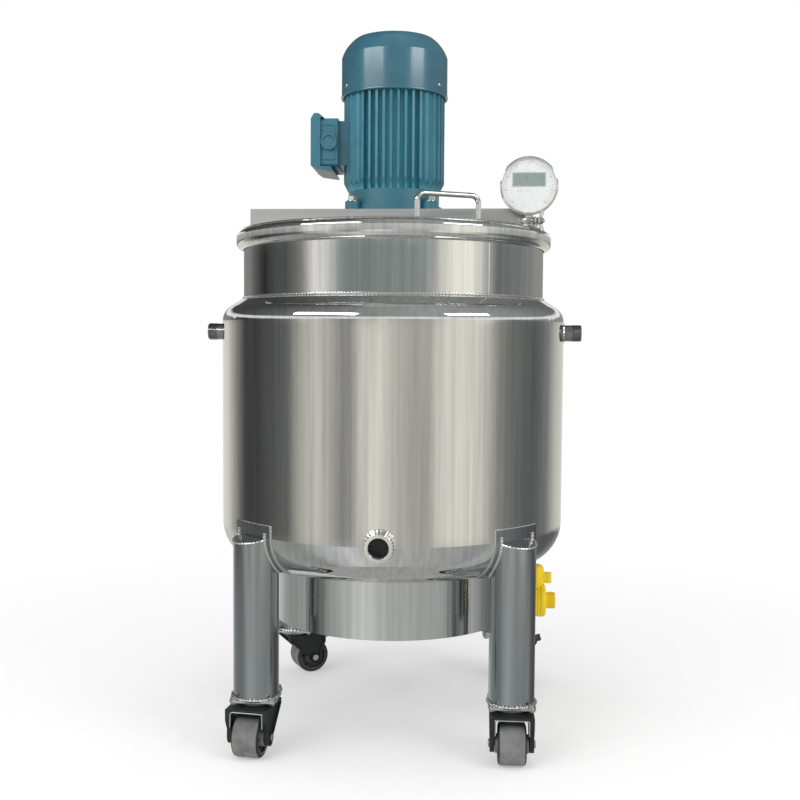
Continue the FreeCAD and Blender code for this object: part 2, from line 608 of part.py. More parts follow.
def make_jacket():
    """Make the heating jacket round the pot, and the housing under it."""
    outer = jacket_outline("0")
    inner = jacket_outline("-jacket_wall")
    shell = turned("JacketShell", [
        ("jacket_radius", JACKET_FLANGE_TOP),
        outer[3], outer[4], outer[5],
        inner[5],
        inner[4],
        inner[3][:2] + ("shoulder_round - jacket_wall", 1),
        ("jacket_radius - jacket_wall", JACKET_FLANGE_TOP),
    ])
    for side in (1, -1):
        bored(shell, "SteamHole%d" % (side + 1), "YZ_Plane", "0", "steam_pipe_height",
              "steam_pipe_radius", "%d * jacket_radius" % side, "jacket_radius / 4")
    keep("jacket_shell", shell)

    floor = turned("JacketBottom", [
        ("outlet_radius", "jacket_floor_height"),
        outer[1], outer[2],
        ("jacket_radius", JACKET_FLANGE_TOP),
        ("jacket_radius - jacket_wall", JACKET_FLANGE_TOP),
        ("jacket_radius - jacket_wall", JACKET_KNUCKLE_LEVEL),
        ("jacket_radius - jacket_knuckle", "jacket_floor_height + jacket_wall",
         "jacket_knuckle - jacket_wall", 1),
        ("outlet_radius", "jacket_floor_height + jacket_wall"),
    ])
    bored(floor, "DrainHole", "XZ_Plane", "0", "drain_socket_height",
          "drain_socket_radius", "jacket_radius", "jacket_radius / 4")
    keep("jacket_bottom", floor)

    skirt = turned("BottomSkirt", [
        ("0", "skirt_foot_height"),
        ("skirt_radius", "skirt_foot_height"),
        ("skirt_radius", "jacket_floor_height"),
        ("skirt_radius - skirt_wall", "jacket_floor_height"),
        ("skirt_radius - skirt_wall", "skirt_foot_height + skirt_wall"),
        ("0", "skirt_foot_height + skirt_wall"),
    ])
    bored(skirt, "SkirtHole", "YZ_Plane", "0", "outlet_height",
          "outlet_radius", "skirt_radius", "skirt_radius / 4")
    keep("bottom_skirt", skirt)


def make_nozzles():
    """Make the front socket, the side nozzles and the outlet pipe under the pot."""
    root = "(jacket_radius - nozzle_root)"
    socket_length = "(nozzle_root + drain_socket_reach)"
    keep("front_nozzle", turned("FrontNozzle", rectangle(
        "drain_socket_bore", "drain_socket_radius", "0", socket_length),
        ("0", "-" + root, "drain_socket_height"), ALONG_FRONT))

    pipe_length = "(nozzle_root + steam_pipe_reach)"
    stubs = []
    for name, start in (("Left", "-%s - %s" % (root, pipe_length)), ("Right", root)):
        at = (start, "0", "steam_pipe_height")
        outside = cylinder(name + "Stub", "steam_pipe_radius", pipe_length, at, ALONG_X)
        bore = cylinder(name + "StubBore", "steam_pipe_radius - steam_pipe_wall",
                        pipe_length, at, ALONG_X)
        stubs.append(cut(name + "Nozzle", outside, bore))
    keep("side_nozzles", fuse("SideNozzles", *stubs))

    body = new_body("OutletPipe")
    top = "(pot_floor_height + pot_wall)"
    path = outline(body, "OutletPath", "XZ_Plane", [
        ("0", top),
        ("0", "outlet_height + outlet_bend"),
        ("outlet_bend", "outlet_height", "outlet_bend", -1),
        ("outlet_reach", "outlet_height"),
    ], closed=False)
    for kind, name, radius in (
            ("PartDesign::AdditivePipe", "OutletOutside", "outlet_radius"),
            ("PartDesign::SubtractivePipe", "OutletBore", "outlet_radius - outlet_wall")):
        section = circles(body, name + "Section", "XY_Plane", [("0", "0", radius)], top)
        sweep = body.newObject(kind, name)
        sweep.Profile = section
        sweep.Spine = (path, ["Edge1", "Edge2", "Edge3"])
    keep("outlet_pipe", body)


def make_valve():
    """Make the plastic discharge valve on the outlet pipe."""
    start = "(outlet_reach - valve_socket_overlap)"
    nut = new_body("ValveNut", (start, "0", "outlet_height"), ALONG_X)
    pad(nut, circles(nut, "NutRear", "XY_Plane", [
        ("0", "0", "valve_nut_radius"), ("0", "0", "outlet_radius")]), "valve_socket_overlap")
    pad(nut, circles(nut, "NutFront", "XY_Plane", [
        ("0", "0", "valve_nut_radius"), ("0", "0", "valve_spigot_radius")],
        "valve_socket_overlap"), "valve_nut_length - valve_socket_overlap")
    groove = pocket(nut, circles(nut, "GripGroove", "XY_Plane", [
        ("valve_nut_radius + valve_grip_radius / 2", "0", "valve_grip_radius")]),
        "4 * valve_nut_length")
    around(nut, groove, "valve_grip_count")
    keep("valve_nut", nut)

    spigot = "(valve_nut_length - valve_socket_overlap)"
    drum_end = "(%s + valve_drum_length)" % spigot
    rib = "valve_drum_length / 6"
    rings = []
    for index in (1, 2, 3):
        level = "(%s + valve_drum_round + %d * %s)" % (spigot, index, rib)
        rings.extend([
            ("valve_drum_radius", "%s - %s / 2" % (level, rib)),
            ("valve_drum_radius - valve_rib_depth", "%s - %s / 4" % (level, rib)),
            ("valve_drum_radius", level),
        ])
    drum = turned("ValveDrum", [
        ("valve_spout_bore", "0"),
        ("valve_spigot_radius", "0"),
        ("valve_spigot_radius", spigot),
        ("valve_drum_radius - valve_drum_round", spigot),
        ("valve_drum_radius", spigot + " + valve_drum_round", "valve_drum_round", -1),
    ] + rings + [
        ("valve_drum_radius", drum_end + " - valve_drum_round"),
        ("valve_drum_radius - valve_drum_round", drum_end, "valve_drum_round", -1),
        ("valve_spout_radius", drum_end),
        ("valve_spout_radius", drum_end + " + valve_spout_length"),
        ("valve_spout_bore", drum_end + " + valve_spout_length"),
    ], ("outlet_reach", "0", "outlet_height"), ALONG_X)
    neck = cylinder("ValveNeck", "valve_neck_radius", "valve_neck_height",
                    (VALVE_STEM_X, "0", "outlet_height"))
    bore = cylinder("ValveNeckBore", "valve_spout_bore",
                    "%s + valve_spout_length" % drum_end,
                    ("outlet_reach", "0", "outlet_height"), ALONG_X)
    keep("valve_body", fuse("ValveBody", drum, cut("ValveStem", neck, bore)))

    handle = new_body("ValveHandle", (VALVE_STEM_X, "0",
                                      "outlet_height + valve_neck_height + swivel_clearance"))
    dome = "valve_knob_dome"
    revolve(handle, outline(handle, "KnobSection", "XZ_Plane", [
        ("0", "0"),
        ("valve_knob_radius", "0"),
        ("valve_knob_radius", "valve_knob_height - %s" % dome),
        ("valve_knob_radius - %s" % dome, "valve_knob_height", dome, -1),
        ("0", "valve_knob_height"),
    ]))
    half = "valve_wing_width / 2"
    pad(handle, outline(handle, "WingPlan", "XY_Plane", [
        ("0", "-" + half),
        ("valve_wing_length - %s" % half, "-" + half),
        ("valve_wing_length", "0", half, -1),
        ("valve_wing_length - %s" % half, half, half, -1),
        ("0", half),
    ]), "valve_wing_height")
    keep("valve_handle", handle)


def leg_place(side_x, side_y):
    """Return the place of a leg's axis on the diagonal."""
    return ("%d * %s * cos(45)" % (side_x, LEG_CIRCLE), "%d * %s * sin(45)" % (side_y, LEG_CIRCLE),
            "0")


LEGS = [("front_left", -1, -1), ("front_right", 1, -1), ("rear_left", -1, 1), ("rear_right", 1, 1)]


def heading(side_x, side_y):
    """Return the rotation that points local X outwards along a leg's diagonal."""
    angle = {(-1, -1): 225, (1, -1): 315, (-1, 1): 135, (1, 1): 45}[(side_x, side_y)]
    return Rotation(Vector(0, 0, 1), angle)


def make_legs():
    """Make the tube legs, coped round the jacket, with their saddle pads and cap plates.

    A leg's sloping top is drawn from twice the tube's radius inside its axis to twice outside.
    """
    padded = turned("PaddedJacket", jacket_outline("leg_pad_thickness"))
    bare = turned("BareJacket", jacket_outline("0"))
    saddle_ring = cut("SaddleRing", padded, bare)
    pads, caps = [], []
    for name, side_x, side_y in LEGS:
        at = leg_place(side_x, side_y)
        turn = heading(side_x, side_y)
        post = new_body(name + "_post", at, turn)
        pad(post, circles(post, name + "_ring", "XY_Plane", [
            ("0", "0", "leg_radius"), ("0", "0", "leg_radius - leg_wall")],
            "caster_height"), "leg_top_height - caster_height")
        fall = "tan(leg_top_slope)"
        top_in = "(leg_top_height - leg_cap_thickness)"
        pocket(post, outline(post, name + "_bevel", "XZ_Plane", [
            ("-leg_radius * 2", "leg_top_height * 2"),
            ("-leg_radius * 2", "%s + leg_radius * %s" % (top_in, fall)),
            ("leg_radius * 2", "%s - leg_radius * 3 * %s" % (top_in, fall)),
            ("leg_radius * 2", "leg_top_height * 2"),
        ]), "leg_radius * 4")
        keep("leg_" + name, cut(name + "_leg", post, padded))

        cap = new_body(name + "_cap_plate", at, turn)
        pad(cap, outline(cap, name + "_cap_side", "XZ_Plane", [
            ("-leg_radius * 2", "%s + leg_radius * %s" % (top_in, fall)),
            ("leg_radius * 2", "%s - leg_radius * 3 * %s" % (top_in, fall)),
            ("leg_radius * 2", "leg_top_height - leg_radius * 3 * %s" % fall),
            ("-leg_radius * 2", "leg_top_height + leg_radius * %s" % fall),
        ]), "leg_radius * 4", middle=True)
        drum = cylinder(name + "_cap_drum", "leg_radius", "leg_top_height * 2", at)
        caps.append(cut(name + "_cap", common(name + "_cap_disc", cap, drum), padded))

        slab = new_body(name + "_pad_slab", ("0", "0", "0"), turn)
        pad(slab, outline(slab, name + "_pad_face", "YZ_Plane", rectangle(
            "-leg_pad_width / 2", "leg_pad_width / 2",
            "leg_pad_foot_height", "leg_pad_top_height")), "jacket_radius * 2")
        pads.append(common(name + "_pad", saddle_ring, slab))
    keep("leg_pads", fuse("LegPads", *pads))
    keep("leg_caps", fuse("LegCaps", *caps))


def make_casters():
    """Make the four swivel casters, of which the rear pair has brake pedals."""
    plates = []
    for name, side_x, side_y in LEGS:
        at = leg_place(side_x, side_y)
        half = "caster_plate_size / 2"
        plate = new_body(name + "_plate", at)
        under = "(caster_height - caster_plate_thickness)"
        corner = "caster_plate_corner"
        pad(plate, outline(plate, name + "_plate_face", "XY_Plane", [
            ("%s - %s" % (half, corner), "-%s" % half),
            (half, "-%s + %s" % (half, corner), corner, -1),
            (half, "%s - %s" % (half, corner)),
            ("%s - %s" % (half, corner), half, corner, -1),
            ("-%s + %s" % (half, corner), half),
            ("-%s" % half, "%s - %s" % (half, corner), corner, -1),
            ("-%s" % half, "-%s + %s" % (half, corner)),
            ("-%s + %s" % (half, corner), "-%s" % half, corner, -1),
        ], under), "caster_plate_thickness")
        pad(plate, circles(plate, name + "_race", "XY_Plane",
                           [("0", "0", "caster_race_radius")], under),
            "caster_race_height", backwards=True)
        plates.append(plate)

        turn = Rotation(Vector(0, 0, 1), value("yaw_" + name))
        braked = side_y > 0
        make_fork(name, at, turn, braked)
        make_wheel(name, at, turn)
        if braked:
            make_pedal(name, at, turn)
    keep("caster_plates", fuse("CasterPlates", *plates))


def arm_outline(inset):
    """Return the outline of a fork's arm, drawn in by the given size."""
    boss = "(fork_boss_radius - %s)" % inset
    front = "-fork_crown_reach + %s" % inset
    back = "%s + fork_rear_margin - %s" % (PEDAL_PIN_X, inset)
    top = "%s - %s" % (CROWN_TOP, inset)
    return [
        (front, "%s - fork_crown_depth" % CROWN_TOP),
        (front, top),
        (back, top),
        (back, "pedal_pin_height - fork_rear_margin + %s" % inset),
        ("caster_trail + %s" % boss, "wheel_radius + fork_boss_radius"),
        ("caster_trail + %s" % boss, "wheel_radius"),
        ("caster_trail", "wheel_radius - %s" % boss, boss, 1),
        ("caster_trail - %s" % boss, "wheel_radius", boss, 1),
    ]


def make_fork(name, at, turn, braked):
    """Make a caster's pressed fork with its axle bolt, and with holes for a pedal's pin."""
    fork = new_body(name + "_fork", at, turn)
    pad(fork, outline(fork, name + "_fork_side", "XZ_Plane", arm_outline("0")),
        "fork_width", middle=True)
    pocket(fork, outline(fork, name + "_fork_gap", "XZ_Plane", rectangle(
        "-fork_crown_radius * 3", "fork_crown_radius * 3", "-fork_width",
        "%s - fork_sheet" % CROWN_TOP)), FORK_GAP)
    for side in (1, -1):
        pocket(fork, outline(fork, "%s_arm_dish_%d" % (name, side + 1), "XZ_Plane",
                             arm_outline("fork_flange"), "%d * fork_width / 2" % side),
               "2 * (fork_arm - fork_sheet)")
    if braked:
        pocket(fork, outline(fork, name + "_crown_end", "XZ_Plane", rectangle(
            "fork_crown_radius", "fork_crown_radius * 3", "0", "caster_height")), FORK_GAP)
        pocket(fork, circles(fork, name + "_pedal_hole", "XZ_Plane", [
            (PEDAL_PIN_X, "pedal_pin_height", "pedal_pin_radius + running_clearance")]),
            "fork_width * 2")
    pad(fork, circles(fork, name + "_axle", "XZ_Plane",
                      [("caster_trail", "wheel_radius", "axle_radius")]),
        FORK_WEBS, middle=True)
    for side in (1, -1):
        pad(fork, circles(fork, "%s_axle_head_%d" % (name, side + 1), "XZ_Plane",
                          [("caster_trail", "wheel_radius", "axle_head_radius")],
                          "%d * (%s / 2 + axle_head_height / 2)" % (side, FORK_WEBS)),
            "axle_head_height", middle=True)
    keep("fork_" + name, fork)


def make_wheel(name, at, turn):
    """Make a caster's wheel with its recessed faces and hub."""
    half = "wheel_width / 2"
    hub_half = "(%s / 2 - side_play)" % FORK_GAP
    bore = "axle_radius + running_clearance"
    wheel = new_body(name + "_wheel", at, turn)
    place(wheel, (
        "%s + caster_trail * cos(yaw_%s)" % (at[0], name),
        "%s + caster_trail * sin(yaw_%s)" % (at[1], name),
        "wheel_radius"), turn.multiply(Rotation(Vector(1, 0, 0), 90)))
    face = "(%s - wheel_rim_recess)" % half
    revolve(wheel, outline(wheel, name + "_wheel_section", "XZ_Plane", [
        (bore, "-" + hub_half),
        ("wheel_hub_radius", "-" + hub_half),
        ("wheel_hub_radius", "-" + face),
        ("wheel_rim_radius", "-" + face),
        ("wheel_rim_radius", "-" + half),
        ("wheel_radius - wheel_shoulder", "-" + half),
        ("wheel_radius", "-%s + wheel_shoulder" % half, "wheel_shoulder", -1),
        ("wheel_radius", "%s - wheel_shoulder" % half),
        ("wheel_radius - wheel_shoulder", half, "wheel_shoulder", -1),
        ("wheel_rim_radius", half),
        ("wheel_rim_radius", face),
        ("wheel_hub_radius", face),
        ("wheel_hub_radius", hub_half),
        (bore, hub_half),
    ]))
    keep("wheel_" + name, wheel)


def make_pedal(name, at, turn):
    """Make a caster's brake pedal, which rocks on a pin above the wheel."""
    pedal = new_body(name + "_pedal", at, turn)
    pin_x = PEDAL_PIN_X
    low = "pedal_pin_height - pedal_sheet / 2"
    high = "pedal_pin_height + pedal_sheet / 2"
    pad(pedal, outline(pedal, name + "_pedal_side", "XZ_Plane", [
        (pin_x, low),
        ("pedal_reach - pedal_tip_rise", low),
        ("pedal_reach", low + " + pedal_tip_rise", "pedal_tip_rise", -1),
        ("pedal_reach - pedal_sheet", low + " + pedal_tip_rise"),
        ("pedal_reach - pedal_tip_rise", high, "pedal_tip_rise - pedal_sheet", 1),
        (pin_x, high),
    ]), "pedal_width", middle=True)
    pad(pedal, circles(pedal, name + "_pedal_pin", "XZ_Plane",
                       [(pin_x, "pedal_pin_height", "pedal_pin_radius")]),
        FORK_WEBS, middle=True)
    keep("brake_pedal_" + name, pedal)


def make_covers():
    """Make the fixed rear cover and the front flip lid with its lip, hinges and handle."""
    lip = LIP_RADIUS
    section = [
        ("0", COVER_FOOT),
        (lip + " - cover_thickness", COVER_FOOT),
        (lip + " - cover_thickness", COVER_FOOT + " - cover_lip_depth"),
        (lip, COVER_FOOT + " - cover_lip_depth"),
        (lip, COVER_FOOT),
        (COVER_RADIUS, COVER_FOOT),
        (COVER_RADIUS, COVER_TOP),
        ("0", COVER_TOP),
    ]
    far = "2 * %s" % COVER_RADIUS
    side = "lid_side_reach"

    lid = turned("FrontLidDisc", section)
    pocket(lid, outline(lid, "LidTrim", "XY_Plane", [
        ("-" + far, "-" + HINGE_LINE),
        (side, "-" + HINGE_LINE),
        (side, "-" + far),
        (far, "-" + far),
        (far, far),
        ("-" + far, far),
    ], COVER_TOP), "8 * cover_lip_depth")
    pocket(lid, outline(lid, "LipTrim", "XY_Plane", rectangle(
        "-" + far, far, "-%s - lid_lip_setback" % HINGE_LINE, "0"),
        COVER_FOOT), "2 * cover_lip_depth", middle=False)
    keep("front_lid", lid)

    rear = turned("RearCoverDisc", section)
    pocket(rear, outline(rear, "RearTrim", "XY_Plane", [
        ("-" + far, "-%s + lid_gap" % HINGE_LINE),
        ("-" + far, "-" + far),
        (side + " + lid_gap", "-" + far),
        (side + " + lid_gap", "-%s + lid_gap" % HINGE_LINE),
    ], COVER_TOP), "8 * cover_lip_depth")
    pocket(rear, circles(rear, "CoverHoles", "XY_Plane", [
        ("0", "0", "shaft_radius + lid_gap"),
        ("gauge_x", "gauge_y", "gauge_probe_radius")], COVER_TOP), "3 * cover_thickness")
    keep("rear_cover", rear)


def make_hinges():
    """Make the two hinges of the flip lid: fixed leaves with pins, and the lid's leaves."""
    knuckle = "hinge_knuckle_radius"
    long = "hinge_knuckle_length"
    gap = "hinge_knuckle_gap"
    fixed, moving = [], []
    for index, side in enumerate((-1, 1)):
        middle = "(%d * hinge_spacing / 2 - hinge_shift)" % side
        level = ("-%s" % HINGE_LINE, HINGE_LEVEL)
        name = "Hinge%d" % index
        outer_start = "%s - %s * 1.5" % (middle, long)
        for end, start in enumerate((outer_start, "%s + %s / 2 + %s" % (middle, long, gap))):
            barrel = cylinder("%sBarrel%d" % (name, end), knuckle, "%s - %s" % (long, gap),
                              (start,) + level, ALONG_X)
            tab = box("%sTab%d" % (name, end),
                      ("%s - %s" % (long, gap), "lid_hinge_offset", "hinge_leaf_thickness"),
                      (start, "-" + HINGE_LINE, COVER_TOP))
            fixed.extend([barrel, tab])
        fixed.append(cylinder(name + "Pin", "hinge_pin_radius", "3 * %s" % long,
                              (outer_start,) + level, ALONG_X))
        start = "%s - %s / 2" % (middle, long)
        sleeve = cylinder(name + "Sleeve", knuckle, long, (start,) + level, ALONG_X)
        leaf = box(name + "Leaf", (long, "hinge_leaf_reach", "hinge_leaf_thickness"),
                   (start, "-%s - hinge_leaf_reach" % HINGE_LINE, COVER_TOP))
        hole = cylinder(name + "SleeveBore", "hinge_pin_radius + running_clearance",
                        "%s + 2 * %s" % (long, gap), ("%s - %s" % (start, gap),) + level, ALONG_X)
        moving.append(cut(name + "Moving", fuse(name + "Strap", sleeve, leaf), hole))
    keep("hinge_leaves", fuse("HingeLeaves", *fixed))
    keep("lid_straps", fuse("LidStraps", *moving))


def make_handle():
    """Make the bent rod handle on the flip lid."""
    turn = Rotation(Vector(0, 0, 1), value("handle_heading"))
    at = ("handle_offset * sin(handle_heading)", "-handle_offset * cos(handle_heading)", COVER_TOP)
    body = new_body("LidHandle", at, turn)
    across = "handle_length / 2"
    high = "(handle_height - handle_rod_radius)"
    path = outline(body, "HandlePath", "XZ_Plane", [
        ("-" + across, "0"),
        ("-" + across, high + " - handle_bend"),
        ("-%s + handle_bend" % across, high, "handle_bend", 1),
        (across + " - handle_bend", high),
        (across, high + " - handle_bend", "handle_bend", 1),
        (across, "0"),
    ], closed=False)
    section = circles(body, "HandleSection", "XY_Plane",
                      [("-" + across, "0", "handle_rod_radius")])
    sweep = body.newObject("PartDesign::AdditivePipe", "HandleRod")
    sweep.Profile = section
    sweep.Spine = (path, ["Edge%d" % number for number in range(1, 6)])
    keep("lid_handle", body)


def make_beam():
    """Make the bridge beam that carries the motor, and the clamp studs at its ends."""
    beam = new_body("BridgeBeam")
    half_x, half_y = "beam_length / 2", "beam_width / 2"
    pad(beam, outline(beam, "BeamPlan", "XY_Plane", rectangle(
        "-" + half_x, half_x, "-" + half_y, half_y), COVER_TOP), "beam_height")
    pocket(beam, outline(beam, "BeamInside", "XY_Plane", rectangle(
        "-%s + beam_sheet" % half_x, "%s - beam_sheet" % half_x,
        "-%s + beam_sheet" % half_y, "%s - beam_sheet" % half_y),
        "%s - beam_sheet" % BEAM_TOP), "beam_height", middle=False)
    pocket(beam, circles(beam, "BeamShaftHole", "XY_Plane",
                         [("0", "0", "shaft_radius + lid_gap")], BEAM_TOP), "3 * beam_sheet")
    keep("bridge_beam", beam)

    studs = []
    for index, side in enumerate((-1, 1)):
        x = "%d * stud_offset" % side
        name = "Stud%d" % index
        nut_z = "(%s + stud_height - wing_nut_height * 1.6)" % COVER_TOP
        studs.append(cylinder(name, "stud_radius", "stud_height", (x, "0", COVER_TOP)))
        studs.append(cone(name + "Nut", "wing_nut_radius", "stud_radius * 1.3",
                          "wing_nut_height", (x, "0", nut_z)))
        studs.append(box(name + "Wings",
                         ("stud_radius", "2 * wing_length", "wing_nut_height * 1.4"),
                         (x + " - stud_radius / 2", "-wing_length",
                          nut_z + " + wing_nut_height * 0.3")))
    keep("wing_bolts", fuse("WingBolts", *studs))


def make_motor():
    """Make the fan-cooled flange motor with its terminal box."""
    shield = new_body("MotorShield", ("0", "0", BEAM_TOP))
    revolve(shield, outline(shield, "ShieldSection", "XZ_Plane", [
        ("0", "0"),
        ("shield_foot_radius", "0"),
        ("shield_foot_radius", "shield_foot_thickness"),
        ("shield_radius", "shield_foot_thickness"),
        ("shield_radius", "shield_height"),
        ("0", "shield_height"),
    ]))
    lug = pad(shield, circles(shield, "LugCircle", "XY_Plane", [
        ("lug_circle * cos(45)", "lug_circle * sin(45)", "lug_radius")]), "lug_height")
    around(shield, lug, "4")
    keep("motor_end_shield", shield)

    make_frame()
    make_fan()
    make_terminal_box()


def neck_edge():
    """Return where the terminal box's neck meets the frame's round core."""
    return "sqrt(frame_core_radius ^ 2 - (box_neck_width / 2) ^ 2)"


def make_frame():
    """Make the motor frame with its four groups of parallel cooling fins."""
    frame = new_body("MotorFrame", ("0", "0", SHIELD_TOP))
    pad(frame, circles(frame, "FrameCore", "XY_Plane", [("0", "0", "frame_core_radius")]),
        "frame_height")
    count = int(value("fins_per_side"))
    offsets = ["(%s * fin_pitch)" % (index - (count - 1) / 2) for index in range(count)]
    fins = pad(frame, outlines(frame, "FinRow", "XY_Plane", [rectangle(
        offset + " - fin_thickness / 2", offset + " + fin_thickness / 2",
        "-frame_fin_radius * 1.1", "-frame_core_radius * 0.6") for offset in offsets]),
        "frame_height")
    around(frame, fins, "4")
    bar = pad(frame, circles(frame, "CornerBar", "XY_Plane", [
        ("corner_bar_circle * cos(45)", "corner_bar_circle * sin(45)", "corner_bar_radius")]),
        "frame_height")
    around(frame, bar, "4")
    pocket(frame, circles(frame, "FinTips", "XY_Plane", [
        ("0", "0", "frame_fin_radius"), ("0", "0", "frame_fin_radius * 1.5")]),
        "3 * frame_height")
    trim = frame.newObject("PartDesign::Groove", "FinFoot")
    trim.Profile = outline(frame, "FinFootSection", "XZ_Plane", [
        ("shield_radius", "0"),
        ("frame_fin_radius * 1.2", "0"),
        ("frame_fin_radius * 1.2", "fin_foot_height * 1.5"),
        ("frame_fin_radius", "fin_foot_height"),
    ])
    trim.ReferenceAxis = (trim.Profile[0], ["V_Axis"])
    trim.Angle = 360
    far = "-frame_fin_radius * 1.5"
    edge, side = "-" + neck_edge(), "box_neck_width / 2"
    pocket(frame, outline(frame, "BoxSeat", "XY_Plane", [
        (far, side), (far, "-" + side), (edge, "-" + side),
        (edge, side, "frame_core_radius", 1),
    ], "box_centre_height - %s" % SHIELD_TOP), "box_neck_height")
    keep("motor_frame", frame)

    upper = turned("UpperShield", [
        ("0", "0"),
        ("fan_cover_radius - fan_cover_wall", "0"),
        ("fan_cover_radius - fan_cover_wall", "top_shield_height"),
        ("frame_core_radius", "top_shield_height"),
        ("fan_hub_radius", "top_shield_height * 1.6"),
        ("0", "top_shield_height * 1.6"),
    ], ("0", "0", FRAME_TOP))
    keep("motor_upper_shield", upper)


def make_fan():
    """Make the slotted fan cover and the fan below its grille."""
    foot = "(%s - fan_cover_overlap)" % FRAME_TOP
    cover = new_body("FanCover", ("0", "0", foot))
    shoulder = "(fan_cover_height - fan_cover_shoulder)"
    wall = "fan_cover_wall"
    revolve(cover, outline(cover, "FanCoverSection", "XZ_Plane", [
        ("fan_cover_radius", "0"),
        ("fan_cover_radius", shoulder),
        ("fan_cover_top_radius", "fan_cover_height", "fan_cover_shoulder * 2", -1),
        ("0", "fan_cover_height"),
        ("0", "fan_cover_height - %s" % wall),
        ("fan_cover_top_radius - %s" % wall, "fan_cover_height - %s" % wall),
        ("fan_cover_radius - %s" % wall, shoulder, "fan_cover_shoulder * 2", 1),
        ("fan_cover_radius - %s" % wall, "0"),
    ]))
    end = "(grille_slot_start + grille_slot_length)"
    half = "grille_slot_width / 2"
    slot = pocket(cover, outline(cover, "GrilleSlot", "XY_Plane", [
        (end, "-" + half),
        (end + " + " + half, "0", half, -1),
        (end, half, half, -1),
        ("grille_slot_start", half),
        ("grille_slot_start - " + half, "0", half, -1),
        ("grille_slot_start", "-" + half, half, -1),
    ], "fan_cover_height"), "4 * fan_cover_wall")
    around(cover, slot, "grille_slot_count")
    keep("fan_cover", cover)

    fan_foot = "(%s + top_shield_height * 1.6)" % FRAME_TOP
    fan = new_body("MotorFan", ("0", "0", fan_foot))
    pad(fan, circles(fan, "FanHub", "XY_Plane", [("0", "0", "fan_hub_radius")]),
        "fan_gap + fan_height")
    pad(fan, circles(fan, "FanDisc", "XY_Plane", [("0", "0", "fan_radius")], "fan_gap"),
        "fan_blade_thickness")
    blade = pad(fan, outline(fan, "FanBlade", "XY_Plane", rectangle(
        "fan_hub_radius * 0.9", "fan_radius", "-fan_blade_thickness / 2",
        "fan_blade_thickness / 2"), "fan_gap"), "fan_height")
    around(fan, blade, "fan_blade_count")
    keep("motor_fan", fan)


def make_terminal_box():
    """Make the terminal box with its flared lid and conduit plug."""
    half = "box_width / 2"
    back = "(box_face - box_lid_depth - box_body_depth)"
    front = "(box_face - box_lid_depth)"
    casting = new_body("TerminalBox", ("0", "0", "box_centre_height"))
    body_pad = pad(casting, outline(casting, "BoxPlan", "XY_Plane", rectangle(
        "-" + front, "-" + back, "-" + half, half)), "box_height", middle=True)
    document.recompute()
    edges = ["Edge%d" % (index + 1) for index, edge in enumerate(body_pad.Shape.Edges)
             if abs(edge.tangentAt(edge.FirstParameter).x) > 0.99]
    rounds = casting.newObject("PartDesign::Fillet", "BoxRounds")
    rounds.Base = (body_pad, edges)
    rounds.setExpression("Radius", bind("box_round"))
    edge = "-" + neck_edge()
    side = "box_neck_width / 2"
    pad(casting, outline(casting, "NeckPlan", "XY_Plane", [
        ("-%s - box_round / 4" % back, side), ("-%s - box_round / 4" % back, "-" + side),
        (edge, "-" + side), (edge, side, "frame_core_radius", 1),
    ]), "box_neck_height", middle=True)
    keep("terminal_box", casting)

    lid = new_body("TerminalLid", ("0", "0", "box_centre_height"))
    high = "box_height / 2"
    lip = "box_lip_height"
    pad(lid, outline(lid, "LidProfile", "XZ_Plane", [
        ("-" + front, "-" + high),
        ("-%s + box_body_depth * 0.6" % front, "-" + high),
        ("-%s + box_body_depth * 0.75" % front, "-%s - %s" % (high, lip)),
        ("-%s + box_body_depth * 0.55" % front, "-%s - %s" % (high, lip)),
        ("-box_face + box_lid_depth / 2", "-%s - %s / 2" % (high, lip)),
        ("-box_face", "-%s + %s / 4" % (high, lip)),
        ("-box_face", "%s - %s / 4" % (high, lip)),
        ("-box_face + box_lid_depth / 3", "%s + %s" % (high, lip)),
        ("-box_face + box_lid_depth * 0.8", "%s + %s" % (high, lip)),
        ("-%s + box_body_depth * 0.2" % front, high),
        ("-" + front, high),
    ]), "box_width + box_lip_height", middle=True)
    keep("terminal_lid", lid)

    plug_x = "(-%s + box_body_depth / 2)" % front
    keep("conduit_plug", turned("ConduitPlug", [
        ("0", "0"),
        ("plug_radius", "0"),
        ("plug_radius", "plug_reach"),
        ("plug_radius * 0.8", "plug_reach"),
        ("plug_radius * 0.7", "plug_reach * 0.6"),
        ("0", "plug_reach * 0.6"),
    ], (plug_x, "-" + half, "box_centre_height"), ALONG_FRONT))


